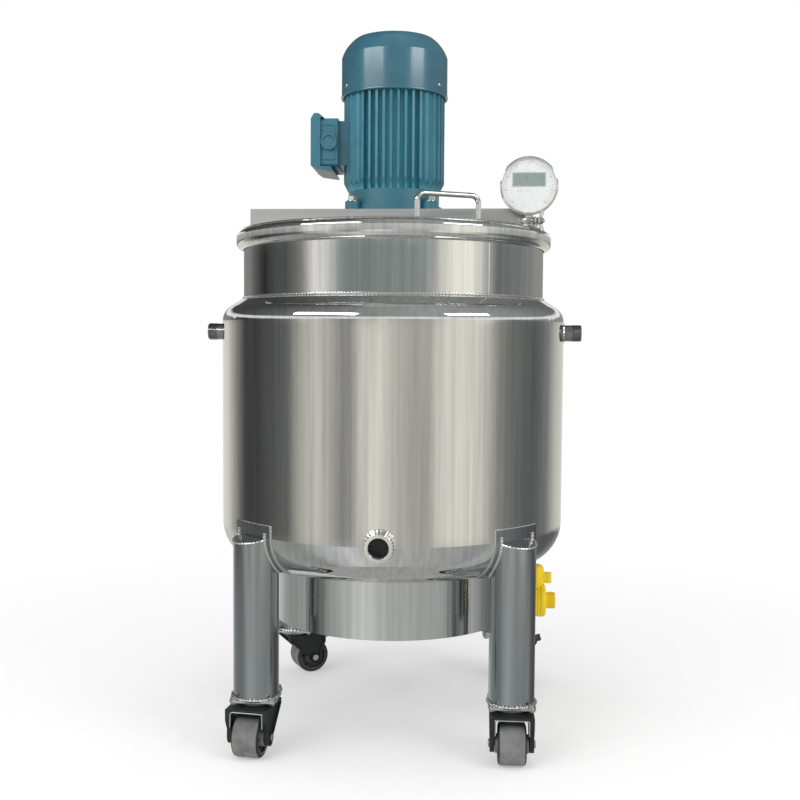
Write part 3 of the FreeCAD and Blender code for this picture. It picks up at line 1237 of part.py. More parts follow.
def make_gauge():
    """Make the dial gauge with its ferrule, clamp and probe."""
    at = ("gauge_x", "gauge_y")
    probe = cylinder("GaugeProbe", "gauge_probe_radius", "gauge_probe_length + cover_thickness",
                     at + ("%s - gauge_probe_length" % COVER_FOOT,))
    ferrule = cylinder("GaugeFerrule", "gauge_ferrule_radius", "gauge_ferrule_height",
                       at + (COVER_TOP,))
    clamp = cylinder("GaugeClamp", "gauge_clamp_radius", "gauge_clamp_height",
                     at + (COVER_TOP + " + gauge_ferrule_height / 2",))
    stem = cylinder("GaugeStem", "gauge_stem_radius", "gauge_rise", at + (COVER_TOP,))
    middle = (at[0], "gauge_y + (gauge_depth - gauge_bezel_depth) / 2", "gauge_centre_height")
    seat = cylinder("GaugeSeat", "gauge_radius * 0.95", "gauge_depth", middle, ALONG_FRONT)
    keep("gauge_stem", fuse("GaugeMount", probe, ferrule, clamp, cut("GaugeNeck", stem, seat)))

    inner = "(gauge_radius - gauge_bezel_width)"
    keep("gauge_case", turned("GaugeCase", [
        ("0", "0"),
        ("gauge_radius * 0.9", "0"),
        ("gauge_radius * 0.95", "gauge_depth * 0.12"),
        ("gauge_radius * 0.95", "gauge_depth - gauge_bezel_depth"),
        ("0", "gauge_depth - gauge_bezel_depth"),
    ], middle, ALONG_FRONT))
    keep("gauge_bezel", turned("GaugeBezel", [
        (inner, "gauge_depth - gauge_bezel_depth"),
        ("gauge_radius", "gauge_depth - gauge_bezel_depth"),
        ("gauge_radius", "gauge_depth - gauge_bezel_width / 2"),
        ("gauge_radius - gauge_bezel_width / 2", "gauge_depth", "gauge_bezel_width / 2", 1),
        (inner, "gauge_depth"),
    ], middle, ALONG_FRONT))
    face_top = "(gauge_depth - gauge_face_recess)"
    keep("gauge_face", turned("GaugeFace", rectangle(
        "0", inner, "gauge_depth - gauge_bezel_depth", face_top), middle, ALONG_FRONT))


def make_agitator():
    """Make the agitator shaft and its pitched-blade impeller."""
    keep("agitator_shaft", cylinder("AgitatorShaft", "shaft_radius",
                                    BEAM_TOP + " - shaft_foot_height",
                                    ("0", "0", "shaft_foot_height")))
    impeller = new_body("Impeller", ("0", "0", "impeller_height"))
    pad(impeller, circles(impeller, "ImpellerHub", "XY_Plane", [
        ("0", "0", "impeller_hub_radius"), ("0", "0", "shaft_radius")]),
        "impeller_hub_height", middle=True)
    along = "impeller_blade_height / 2"
    thick = "impeller_blade_thickness / 2"
    cosine, sine = "cos(impeller_blade_pitch)", "sin(impeller_blade_pitch)"
    corners = [("%s" % along, thick), ("-%s" % along, thick),
               ("-%s" % along, "-" + thick), ("%s" % along, "-" + thick)]
    blade = pad(impeller, outline(impeller, "BladeSection", "YZ_Plane", [
        ("(%s) * %s - (%s) * %s" % (y, cosine, z, sine),
         "(%s) * %s + (%s) * %s" % (y, sine, z, cosine)) for y, z in corners],
        "impeller_hub_radius * 0.8"), "impeller_blade_radius - impeller_hub_radius * 0.8")
    around(impeller, blade, "impeller_blade_count")
    keep("impeller", impeller)


def export():
    """Check every object and write each sub-part's solid."""
    document.recompute()
    broken = [item.Name for item in document.Objects
              if "Invalid" in item.State or "Error" in item.State]
    if broken:
        raise RuntimeError("objects in error: " + ", ".join(broken))
    os.makedirs("parts", exist_ok=True)
    for node, item in parts.items():
        if item.Shape.isNull() or not item.Shape.isValid():
            raise RuntimeError("bad shape: " + node)
        item.Shape.exportStep("parts/%s.step" % node)
        print(node, len(item.Shape.Solids), round(item.Shape.Volume / 1000, 2))


make_pot()
make_jacket()
make_nozzles()
make_valve()
make_legs()
make_casters()
make_covers()
make_hinges()
make_handle()
make_beam()
make_motor()
make_gauge()
make_agitator()
export()
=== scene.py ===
"""Studio picture of the jacketed mixing tank on casters.

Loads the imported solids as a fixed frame, gives each of them its finish, adds the welds, bolts,
threads and dial markings that the solids leave out, and sets up the camera and the lights.
Metres, +Z up; the tank's axis is the Z axis and its front faces -Y.
"""
import logging
import math
import random
from dataclasses import dataclass
from enum import Enum
from itertools import pairwise, product
from typing import Iterable, Sequence

import bmesh
import bpy
from bpy.types import Material, Node, NodeSocket, NodeTree, Object
from mathutils import Matrix, Vector


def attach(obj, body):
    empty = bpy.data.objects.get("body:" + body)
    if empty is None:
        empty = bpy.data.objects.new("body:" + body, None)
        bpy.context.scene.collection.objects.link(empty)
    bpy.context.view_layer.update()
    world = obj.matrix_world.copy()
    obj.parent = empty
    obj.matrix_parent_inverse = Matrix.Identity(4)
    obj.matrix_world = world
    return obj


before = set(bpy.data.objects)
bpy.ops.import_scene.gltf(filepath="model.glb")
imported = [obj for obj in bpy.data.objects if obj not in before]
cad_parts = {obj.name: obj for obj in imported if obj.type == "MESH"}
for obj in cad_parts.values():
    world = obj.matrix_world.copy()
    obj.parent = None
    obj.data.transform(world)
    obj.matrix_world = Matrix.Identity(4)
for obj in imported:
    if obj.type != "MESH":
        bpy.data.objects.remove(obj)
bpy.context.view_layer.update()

LOG = logging.getLogger("mixing_tank")
Colour = tuple[float, float, float]
Outline = Sequence[tuple[float, float]]
Sockets = dict[str, NodeSocket]
TANK, LID = "tank", "lid"
CASTERS = ("front_left", "front_right", "rear_left", "rear_right")
BRAKED = CASTERS[2:]
SIDES = (-1, 1)
UP, ACROSS, FRONT = Vector((0, 0, 1)), Vector((1, 0, 0)), Vector((0, -1, 0))
DUST_TONE = (0.33, 0.31, 0.28)
STAIN_TINT = (0.9, 0.86, 0.8)


class Wiring:
    """Adds nodes to one node tree and links them."""

    def __init__(self, tree: NodeTree) -> None:
        """Keep the tree that the nodes go into."""
        self.tree = tree

    def feed(self, node: Node, inputs: dict) -> Node:
        """Give a node its inputs.

        Args:
            node: the node.
            inputs: a value or another node's output for each input, by name or number.

        Returns:
            The same node.
        """
        for key, value in inputs.items():
            if isinstance(value, NodeSocket):
                self.tree.links.new(value, node.inputs[key])
            else:
                node.inputs[key].default_value = value
        return node

    def add(self, kind: str, inputs: dict | None = None, **settings: object) -> Node:
        """Add one node.

        Args:
            kind: the node's type, without the ShaderNode before it.
            inputs: its inputs, as feed takes them.
            settings: the node's own properties.

        Returns:
            The new node.
        """
        prefix = "" if kind.startswith("NodeGroup") else "ShaderNode"
        node = self.tree.nodes.new(prefix + kind)
        for key, value in settings.items():
            setattr(node, key, value)
        return self.feed(node, inputs or {})

    def use(self, effect: "Effect", **values: object) -> Sockets:
        """Place a shared effect with its inputs, and return its outputs."""
        return self.add("Group", values, node_tree=effect.group()).outputs

    def maths(self, operation: str, *numbers: object) -> NodeSocket:
        """Return a Math node's result."""
        return self.add("Math", dict(enumerate(numbers)), operation=operation).outputs[0]

    def span(self, value: NodeSocket, low: object, high: object, to_low: object = 0.0,
             to_high: object = 1.0) -> NodeSocket:
        """Return a value mapped from one range to another, and held inside it."""
        return self.add("MapRange", {"Value": value, "From Min": low, "From Max": high,
                                     "To Min": to_low, "To Max": to_high}).outputs[0]

    def blend(self, mask: object, first: object, second: object) -> NodeSocket:
        """Return two colours blended by a mask."""
        pair = [tone if isinstance(tone, NodeSocket) else (*tone, 1) for tone in (first, second)]
        return self.add("Mix", {0: mask, 6: pair[0], 7: pair[1]}, data_type="RGBA").outputs[2]

    def stretch(self, vector: NodeSocket, scale: object) -> NodeSocket:
        """Return coordinates multiplied by a scale along each axis."""
        return self.add("VectorMath", {0: vector, 1: scale}, operation="MULTIPLY").outputs[0]

    def length(self, vector: NodeSocket) -> NodeSocket:
        """Return a vector's length."""
        return self.add("VectorMath", {0: vector}, operation="LENGTH").outputs["Value"]

    def noise(self, vector: NodeSocket, scale: object, detail: float = 3.0,
              distortion: float = 0.0) -> NodeSocket:
        """Return the value of a noise texture."""
        return self.add("TexNoise", {"Vector": vector, "Scale": scale, "Detail": detail,
                                     "Distortion": distortion}).outputs[0]

    def bump(self, height: NodeSocket, distance: float,
             normal: NodeSocket | None = None) -> NodeSocket:
        """Return a normal bent by a height, in metres of relief."""
        inputs = {"Height": height, "Distance": distance, "Strength": 1.0}
        return self.add("Bump", inputs | ({"Normal": normal} if normal else {})).outputs[0]


def sheet_waves(wiring: Wiring, given: Sockets) -> Sockets:
    """Lay long upright waves of rolled sheet, with fine draw lines on them.

    Args:
        wiring: the group's wiring.
        given: its inputs.

    Returns:
        Its outputs.
    """
    upright = wiring.add("CombineXYZ", {0: 1.0, 1: 1.0, 2: given["Rise"]}).outputs[0]
    places = wiring.stretch(given["Vector"], upright)
    broad = wiring.noise(places, given["Pitch"], 2.0)
    fine = wiring.noise(places, wiring.maths("MULTIPLY", given["Pitch"], 7.0), 2.0)
    return {"Height": wiring.maths("MULTIPLY_ADD", fine, 0.12, broad)}


def directed_grain(wiring: Wiring, given: Sockets) -> Sockets:
    """Draw fine scratches that run one way.

    Args:
        wiring: the group's wiring.
        given: its inputs.

    Returns:
        Its outputs.
    """
    places = wiring.stretch(given["Vector"], given["Stretch"])
    height = wiring.noise(places, given["Scale"], 4.0)
    streaks = wiring.noise(places, wiring.maths("MULTIPLY", given["Scale"], 0.15))
    return {"Height": height, "Streaks": wiring.span(streaks, 0.3, 0.7)}


def smudges(wiring: Wiring, given: Sockets) -> Sockets:
    """Lay soft patches of wear, wiping marks and fingerprints.

    Args:
        wiring: the group's wiring.
        given: its inputs.

    Returns:
        Its outputs.
    """
    cloud = wiring.noise(given["Vector"], given["Scale"], 6.0, 0.8)
    low = wiring.maths("SUBTRACT", 0.75, wiring.maths("MULTIPLY", given["Cover"], 0.5))
    return {"Mask": wiring.span(cloud, low, 0.85)}


def worn_edges(wiring: Wiring, given: Sockets) -> Sockets:
    """Round the edges, and mark where their coat has worn.

    Args:
        wiring: the group's wiring.
        given: its inputs.

    Returns:
        Its outputs.
    """
    rounded = wiring.add("Bevel", {"Radius": given["Radius"]}, samples=4).outputs[0]
    surface = wiring.add("NewGeometry").outputs["Normal"]
    lined = wiring.add("VectorMath", {0: rounded, 1: surface},
                       operation="DOT_PRODUCT").outputs["Value"]
    turned_away = wiring.span(wiring.maths("SUBTRACT", 1.0, lined), 0.02, 0.2)
    patches = wiring.span(wiring.noise(given["Vector"], given["Scale"], 4.0), 0.4, 0.6)
    worn = wiring.maths("MULTIPLY", wiring.maths("MULTIPLY", turned_away, patches), given["Wear"])
    return {"Normal": rounded, "Mask": worn}


def cast_skin(wiring: Wiring, given: Sockets) -> Sockets:
    """Raise the fine pebbled skin of a painted casting or a moulding.

    Args:
        wiring: the group's wiring.
        given: its inputs.

    Returns:
        Its outputs.
    """
    cells = wiring.add("TexVoronoi", {"Vector": given["Vector"], "Scale": given["Scale"]},
                       feature="SMOOTH_F1").outputs["Distance"]
    orange = wiring.noise(given["Vector"], wiring.maths("MULTIPLY", given["Scale"], 0.35))
    return {"Height": wiring.maths("ADD", cells, orange)}


def floor_dust(wiring: Wiring, given: Sockets) -> Sockets:
    """Scatter dust that thins out with the height above the floor.

    Args:
        wiring: the group's wiring.
        given: its inputs.

    Returns:
        Its outputs.
    """
    level = wiring.add("SeparateXYZ", {0: given["Vector"]}).outputs["Z"]
    share = wiring.maths("DIVIDE", level, given["Reach"])
    patches = wiring.noise(given["Vector"], given["Scale"], 5.0, 0.5)
    return {"Mask": wiring.maths("MULTIPLY", wiring.span(share, 1.0, 0.1),
                                 wiring.span(patches, 0.3, 0.7))}


class Effect(Enum):
    """The node groups that several finishes share: name, inputs beside Vector, and wiring."""

    SHEET_WAVES = ("SheetWaves", {"Pitch": 14.0, "Rise": 0.5}, sheet_waves)
    GRAIN = ("DirectedGrain", {"Stretch": (1.0, 1.0, 0.02), "Scale": 900.0}, directed_grain)
    SMUDGES = ("Smudges", {"Scale": 9.0, "Cover": 0.5}, smudges)
    EDGES = ("WornEdges", {"Radius": 0.001, "Wear": 0.5, "Scale": 120.0}, worn_edges)
    SKIN = ("CastSkin", {"Scale": 500.0}, cast_skin)
    DUST = ("FloorDust", {"Reach": 0.12, "Scale": 60.0}, floor_dust)

    def group(self) -> NodeTree:
        """Return the effect's node group, built the first time that it is asked for."""
        name, inputs, wire = self.value
        tree = bpy.data.node_groups.get(name)
        if tree is not None:
            return tree
        tree = bpy.data.node_groups.new(name, "ShaderNodeTree")
        for label, default in {"Vector": (0.0, 0.0, 0.0), **inputs}.items():
            kind = "NodeSocketVector" if isinstance(default, tuple) else "NodeSocketFloat"
            socket = tree.interface.new_socket(label, in_out="INPUT", socket_type=kind)
            socket.default_value = default
        wiring = Wiring(tree)
        results = wire(wiring, wiring.add("NodeGroupInput").outputs)
        for label in results:
            kind = "NodeSocketVector" if label == "Normal" else "NodeSocketFloat"
            tree.interface.new_socket(label, in_out="OUTPUT", socket_type=kind)
        wiring.add("NodeGroupOutput", results)
        return tree


@dataclass(frozen=True)
class Finish:
    """What every finish has; each kind works out its own looks.

    Attributes:
        name: the material's name.
        slot: the record's material slot; not used.
        colour: the main tone, linear.
        roughness: the plain roughness.
    """

    name: str
    slot: str
    colour: Colour
    roughness: float

    def material(self) -> Material:
        """Return this finish's material, built the first time that it is asked for."""
        found = bpy.data.materials.get(self.name)
        if found is not None:
            return found
        material = bpy.data.materials.new(self.name)
        material.use_nodes = True
        material.diffuse_color = (*self.colour, 1)
        wiring = Wiring(material.node_tree)
        places = wiring.add("TexCoord").outputs["Object"]
        plain = {"Base Color": (*self.colour, 1), "Roughness": self.roughness}
        wiring.feed(material.node_tree.nodes["Principled BSDF"], plain | self.looks(wiring, places))
        return material

    def looks(self, wiring: Wiring, places: NodeSocket) -> dict[str, object]:
        """Work out the finish's own inputs to its shader; each kind of finish has its own.

        Args:
            wiring: the material's wiring.
            places: the surface's own coordinates.

        Returns:
            Values and other nodes' outputs, by the shader's names.
        """
        raise NotImplementedError

    def toned(self, share: float) -> Colour:
        """Return the main tone, darker or paler by a share."""
        return tuple(min(1, level * share) for level in self.colour)


@dataclass(frozen=True)
class Steel(Finish):
    """Stainless sheet or rod, from mirror polish to brushed satin."""

    stretch: Colour = (1.0, 1.0, 0.02)
    grain_relief: float = 2e-6
    wave_relief: float = 0.0
    smudge: float = 0.06
    smudge_scale: float = 7.0
    stain: float = 0.35
    tone_swing: float = 0.12
    edge_radius: float = 0.0006

    def looks(self, wiring: Wiring, places: NodeSocket) -> dict[str, object]:
        """Work out grain, sheet waves, wiping marks and rounded edges, as Finish says."""
        grain = wiring.use(Effect.GRAIN, Vector=places, Stretch=self.stretch)
        marks = wiring.use(Effect.SMUDGES, Vector=places, Scale=self.smudge_scale, Cover=0.6)["Mask"]
        edge = wiring.use(Effect.EDGES, Vector=places, Radius=self.edge_radius, Wear=0.3)
        tone = wiring.blend(grain["Streaks"], self.toned(1 - self.tone_swing), self.colour)
        stained = [level * share for level, share in zip(self.colour, STAIN_TINT)]
        normal = wiring.bump(grain["Height"], self.grain_relief, edge["Normal"])
        if self.wave_relief:
            waves = wiring.use(Effect.SHEET_WAVES, Vector=places)["Height"]
            normal = wiring.bump(waves, self.wave_relief, normal)
        return {"Metallic": 1.0, "Normal": normal,
                "Base Color": wiring.blend(wiring.maths("MULTIPLY", marks, self.stain), tone, stained),
                "Roughness": wiring.maths("MULTIPLY_ADD", marks, self.smudge, self.roughness)}


@dataclass(frozen=True)
class WeldMetal(Finish):
    """A weld bead with its heat tint."""

    straw: Colour = (0.5, 0.42, 0.31)

    def looks(self, wiring: Wiring, places: NodeSocket) -> dict[str, object]:
        """Work out straw and grey patches over a rippled bead, as Finish says."""
        patches = wiring.use(Effect.SMUDGES, Vector=places, Scale=70.0, Cover=0.7)["Mask"]
        skin = wiring.use(Effect.SKIN, Vector=places, Scale=900.0)["Height"]
        tint = wiring.maths("MULTIPLY", patches, 0.45)
        return {"Metallic": 1.0, "Normal": wiring.bump(skin, 6e-5),
                "Base Color": wiring.blend(tint, self.colour, self.straw),
                "Roughness": wiring.span(patches, 0.0, 1.0, self.roughness, self.roughness + 0.2)}


@dataclass(frozen=True)
class Coat(Finish):
    """Paint, plating or a moulded skin over a body that shows where the edges have worn.

    The painted gap light, if it has one, is a paler second tone between two radii from the tank's
    axis, as between the motor's fins: painted light that lifts the shade falling in the gaps.
    """

    under: Colour = (0.3, 0.3, 0.3)
    under_metal: float = 0.0
    metal: float = 0.0
    wear: float = 0.4
    edge_radius: float = 0.0008
    skin_scale: float = 500.0
    skin_relief: float = 3e-5
    swing: float = 0.18
    dust: float = 0.0
    dust_reach: float = 0.14
    gloss_coat: float = 0.0
    painted_gap_light: Colour | None = None
    painted_gap_light_edge: float = 0.081
    painted_gap_light_root: float = 0.074

    def looks(self, wiring: Wiring, places: NodeSocket) -> dict[str, object]:
        """Work out uneven colour, pebbled skin, worn edges and dust, as Finish says."""
        patches = wiring.use(Effect.SMUDGES, Vector=places, Scale=18.0, Cover=0.6)["Mask"]
        edge = wiring.use(Effect.EDGES, Vector=places, Radius=self.edge_radius, Wear=self.wear)
        skin = wiring.use(Effect.SKIN, Vector=places, Scale=self.skin_scale)["Height"]
        tone = wiring.blend(patches, self.toned(1 + self.swing), self.toned(1 - self.swing))
        # Painted light: a paler tone between two radii lifts the shade that falls in the gaps between
        # fins.
        if self.painted_gap_light:
            radius = wiring.length(wiring.stretch(places, (1.0, 1.0, 0.0)))
            deep = wiring.span(radius, self.painted_gap_light_edge, self.painted_gap_light_root)
            tone = wiring.blend(deep, tone, self.painted_gap_light)
        tone = wiring.blend(edge["Mask"], tone, self.under)
        rough = wiring.span(patches, 0.0, 1.0, self.roughness, self.roughness + 0.12)
        if self.dust:
            floor = wiring.use(Effect.DUST, Vector=places, Reach=self.dust_reach)["Mask"]
            amount = wiring.maths("MULTIPLY", floor, self.dust)
            tone = wiring.blend(amount, tone, DUST_TONE)
            rough = wiring.maths("MAXIMUM", rough, wiring.maths("MULTIPLY", amount, 1.4))
        looks = {"Base Color": tone, "Roughness": rough,
                 "Normal": wiring.bump(skin, self.skin_relief, edge["Normal"])}
        if self.metal or self.under_metal:
            looks["Metallic"] = wiring.span(edge["Mask"], 0.0, 1.0, self.metal, self.under_metal)
        if self.gloss_coat:
            looks |= {"Coat Weight": self.gloss_coat, "Coat Roughness": 0.12}
        return looks


@dataclass(frozen=True)
class Print(Finish):
    """A printed or enamelled face, matt and almost even."""

    shade: float = 0.08

    def looks(self, wiring: Wiring, places: NodeSocket) -> dict[str, object]:
        """Work out a faint mottle in tone, gloss and relief, as Finish says."""
        mottle = wiring.noise(places, 160.0, 5.0)
        inked = wiring.span(mottle, 0.35, 0.65)
        return {"Base Color": wiring.blend(inked, self.toned(1 - self.shade), self.colour),
                "Roughness": wiring.span(mottle, 0.3, 0.7, self.roughness - 0.06,
                                         self.roughness + 0.06),
                "Normal": wiring.bump(mottle, 1e-5)}


@dataclass(frozen=True)
class Lens(Finish):
    """The clear front of the gauge."""

    def looks(self, wiring: Wiring, places: NodeSocket) -> dict[str, object]:
        """Work out clear plastic with faint wiping marks in its gloss, as Finish says."""
        marks = wiring.use(Effect.SMUDGES, Vector=places, Scale=45.0, Cover=0.5)["Mask"]
        return {"Transmission Weight": 1.0, "IOR": 1.15,
                "Roughness": wiring.span(marks, 0.0, 1.0, 0.01, 0.05)}


EVEN = (1.0, 1.0, 1.0)
MIRROR = Steel("mirror_polished_steel", "stainless_polished", (0.77, 0.765, 0.75), 0.035,
               wave_relief=0.0004, smudge=0.06, tone_swing=0.22, edge_radius=0.0001)
STUB_STEEL = Steel("machined_stub_steel", "stainless_polished", (0.36, 0.36, 0.36), 0.2,
                   stretch=EVEN, smudge=0.12, tone_swing=0.3)
COVER_STEEL = Steel("polished_cover_steel", "stainless_polished", (0.66, 0.655, 0.64), 0.2,
                    stretch=(0.03, 1.0, 1.0), smudge=0.1)
SATIN = Steel("brushed_leg_steel", "stainless_satin", (0.42, 0.45, 0.455), 0.19,
              grain_relief=5e-6, smudge=0.12, tone_swing=0.18)
BEAM_STEEL = Steel("brushed_beam_steel", "stainless_satin", (0.6, 0.6, 0.6), 0.3,
                   stretch=(0.02, 1.0, 1.0), grain_relief=4e-6, smudge=0.12, tone_swing=0.15)
ROD_STEEL = Steel("polished_rod_steel", "stainless_polished", (0.68, 0.67, 0.65), 0.16,
                  stretch=EVEN, smudge=0.08)
FASTENER = Steel("bright_bolt_steel", "stainless_satin", (0.62, 0.62, 0.6), 0.24,
                 stretch=EVEN, smudge=0.15, tone_swing=0.25)
WELD = WeldMetal("weld_bead_metal", "stainless_satin", (0.74, 0.73, 0.71), 0.24)
MOTOR_PAINT = Coat("teal_motor_paint", "motor_paint", (0.025, 0.13, 0.18), 0.36,
                   under=(0.2, 0.36, 0.4), wear=0.7, skin_relief=6e-5, gloss_coat=0.15)
# Painted light: the fin frame wears a paler, thinner-coated copy of the motor paint to lift the shade
# between its fins.
LIGHTENED_FRAME_PAINT = Coat("teal_frame_paint_lightened_against_fin_shade", "motor_paint", (0.03, 0.16, 0.22), 0.36,
                   under=(0.25, 0.45, 0.5), wear=0.9, skin_relief=6e-5, gloss_coat=0.1,
                   painted_gap_light=(0.12, 0.48, 0.58))
COWL_PAINT = Coat("teal_cowl_paint", "motor_paint", (0.024, 0.105, 0.145), 0.28,
                  under=(0.14, 0.26, 0.3), wear=0.35, skin_relief=2e-5, gloss_coat=0.6)
FAN_PLASTIC = Coat("black_fan_plastic", "fan_plastic", (0.02, 0.022, 0.024), 0.45,
                   under=(0.05, 0.05, 0.05), wear=0.3)
YELLOW = Coat("yellow_valve_plastic", "valve_plastic", (0.86, 0.61, 0.0), 0.36,
              under=(0.86, 0.7, 0.2), wear=0.5, skin_relief=2e-5, swing=0.1, gloss_coat=0.1)
ZINC = Coat("zinc_caster_plate", "caster_zinc", (0.5, 0.51, 0.51), 0.34, under=(0.62, 0.62, 0.6),
            metal=0.9, under_metal=1.0, wear=0.8, skin_relief=5e-5, dust=0.25, swing=0.3)
WHEEL_WEB = Coat("black_wheel_web", "wheel_tread", (0.012, 0.013, 0.014), 0.5,
                 under=(0.06, 0.06, 0.06), wear=0.3, skin_relief=6e-5, dust=0.06)
BLACK_FORK = Coat("black_caster_fork", "caster_black", (0.007, 0.008, 0.009), 0.5,
                  under=(0.16, 0.16, 0.16), under_metal=1.0, wear=0.3, skin_relief=6e-5, dust=0.04)
TREAD = Coat("grey_wheel_tread", "wheel_tread", (0.105, 0.108, 0.113), 0.62,
             under=(0.26, 0.26, 0.25), wear=0.5, edge_radius=0.002, skin_scale=420.0,
             skin_relief=3.5e-4, dust=0.55, dust_reach=0.09, swing=0.45)
DIAL = Print("white_dial_print", "gauge_dial", (0.86, 0.87, 0.86), 0.5)
DIAL_INK = Print("grey_dial_ink", "gauge_dial", (0.12, 0.12, 0.12), 0.45)
LCD = Print("grey_green_display", "gauge_dial", (0.27, 0.33, 0.31), 0.3, shade=0.02)
LCD_FRAME = Print("display_frame_print", "gauge_dial", (0.5, 0.53, 0.52), 0.4)
GLASS = Lens("clear_gauge_lens", "gauge_dial", (0.98, 0.99, 0.99), 0.02)


def each(prefix: str, names: Sequence[str] = CASTERS) -> list[str]:
    """Return the nodes of one kind at the casters, all four by default."""
    return [prefix + name for name in names]


NODE_FINISHES: dict[Finish, Sequence[str]] = {
    MIRROR: ("pot_wall", "rim_bead", "jacket_shell", "jacket_bottom", "bottom_skirt",
             "front_nozzle", "gauge_bezel", "gauge_case"),
    STUB_STEEL: ("side_nozzles",),
    COVER_STEEL: ("front_lid", "rear_cover", "pot_bottom"),
    SATIN: (*each("leg_"), "leg_pads", "leg_caps", "outlet_pipe"),
    BEAM_STEEL: ("bridge_beam", "hinge_leaves", "lid_straps"),
    ROD_STEEL: ("lid_handle", "gauge_stem", "agitator_shaft", "impeller", "valve_nut"),
    FASTENER: ("wing_bolts",),
    MOTOR_PAINT: ("motor_end_shield", "motor_upper_shield", "terminal_box", "terminal_lid",
                  "conduit_plug"),
    LIGHTENED_FRAME_PAINT: ("motor_frame",),
    COWL_PAINT: ("fan_cover",),
    FAN_PLASTIC: ("motor_fan",),
    YELLOW: ("valve_body", "valve_handle"),
    ZINC: ("caster_plates",),
    DIAL: ("gauge_face",),
    BLACK_FORK: each("fork_") + each("brake_pedal_", BRAKED),
    TREAD: each("wheel_"),
}


def turns(count: int) -> list[float]:
    """Return the angles that divide a full turn evenly."""
    return [math.tau * index / count for index in range(count)]


def radial(radius: float, angle: float, level: float = 0.0) -> Vector:
    """Return a point round the tank's axis, its angle counted from -Y towards +X."""
    return Vector((radius * math.sin(angle), -radius * math.cos(angle), level))


def circle(middle: Vector, radius: float, count: int) -> list[Vector]:
    """Return the points of a level circle."""
    return [middle + Vector((radius * math.cos(turn), radius * math.sin(turn), 0))
            for turn in turns(count)]


def rectangle(half_x: float, half_y: float) -> Outline:
    """Return the corners of a rectangle round the origin."""
    return [(-half_x, -half_y), (half_x, -half_y), (half_x, half_y), (-half_x, half_y)]


def turned(angle: float, axis: str) -> Matrix:
    """Return a rotation by an angle in degrees."""
    return Matrix.Rotation(math.radians(angle), 4, axis)


def spot(x: float, y: float, z: float, yaw: float = 0.0) -> Matrix:
    """Return a place with a heading about the upright axis, in degrees."""
    return Matrix.Translation((x, y, z)) @ turned(yaw, "Z")


def facing(point: Vector, outward: Vector) -> Matrix:
    """Return a place whose own Z axis points outward."""
    return Matrix.Translation(point) @ outward.to_track_quat("Z", "Y").to_matrix().to_4x4()


def add_object(name: str, data: bpy.types.ID) -> Object:
    """Put data into the scene as a new object, and return the object."""
    item = bpy.data.objects.new(name, data)
    bpy.context.scene.collection.objects.link(item)
    return item


def along(path: Iterable[Vector], step: float) -> list[Vector]:
    """Divide a line evenly.

    Args:
        path: the line's corners.
        step: the distance between two points of the result, about.

    Returns:
        Points along the line, its two ends among them.
    """
    corners = list(path)
    points = [corners[0]]
    for start, end in pairwise(corners):
        count = max(1, round((end - start).length / step))
        points.extend(start.lerp(end, index / count) for index in range(1, count + 1))
    return points


def ring_path(radius: float, level: float, step: float, start: float = 0.0,
              sweep: float = math.tau) -> list[Vector]:
    """Run round the tank's axis.

    Args:
        radius: the distance from the axis.
        level: the height.
        step: the distance between two points, about.
        start: the first point's angle.
        sweep: the angle that the path takes up.

    Returns:
        The path's points; a full turn doesn't repeat its first one.
    """
    count = max(8, round(radius * sweep / step))
    points = count if sweep >= math.tau else count + 1
    return [radial(radius, start + sweep * index / count, level) for index in range(points)]


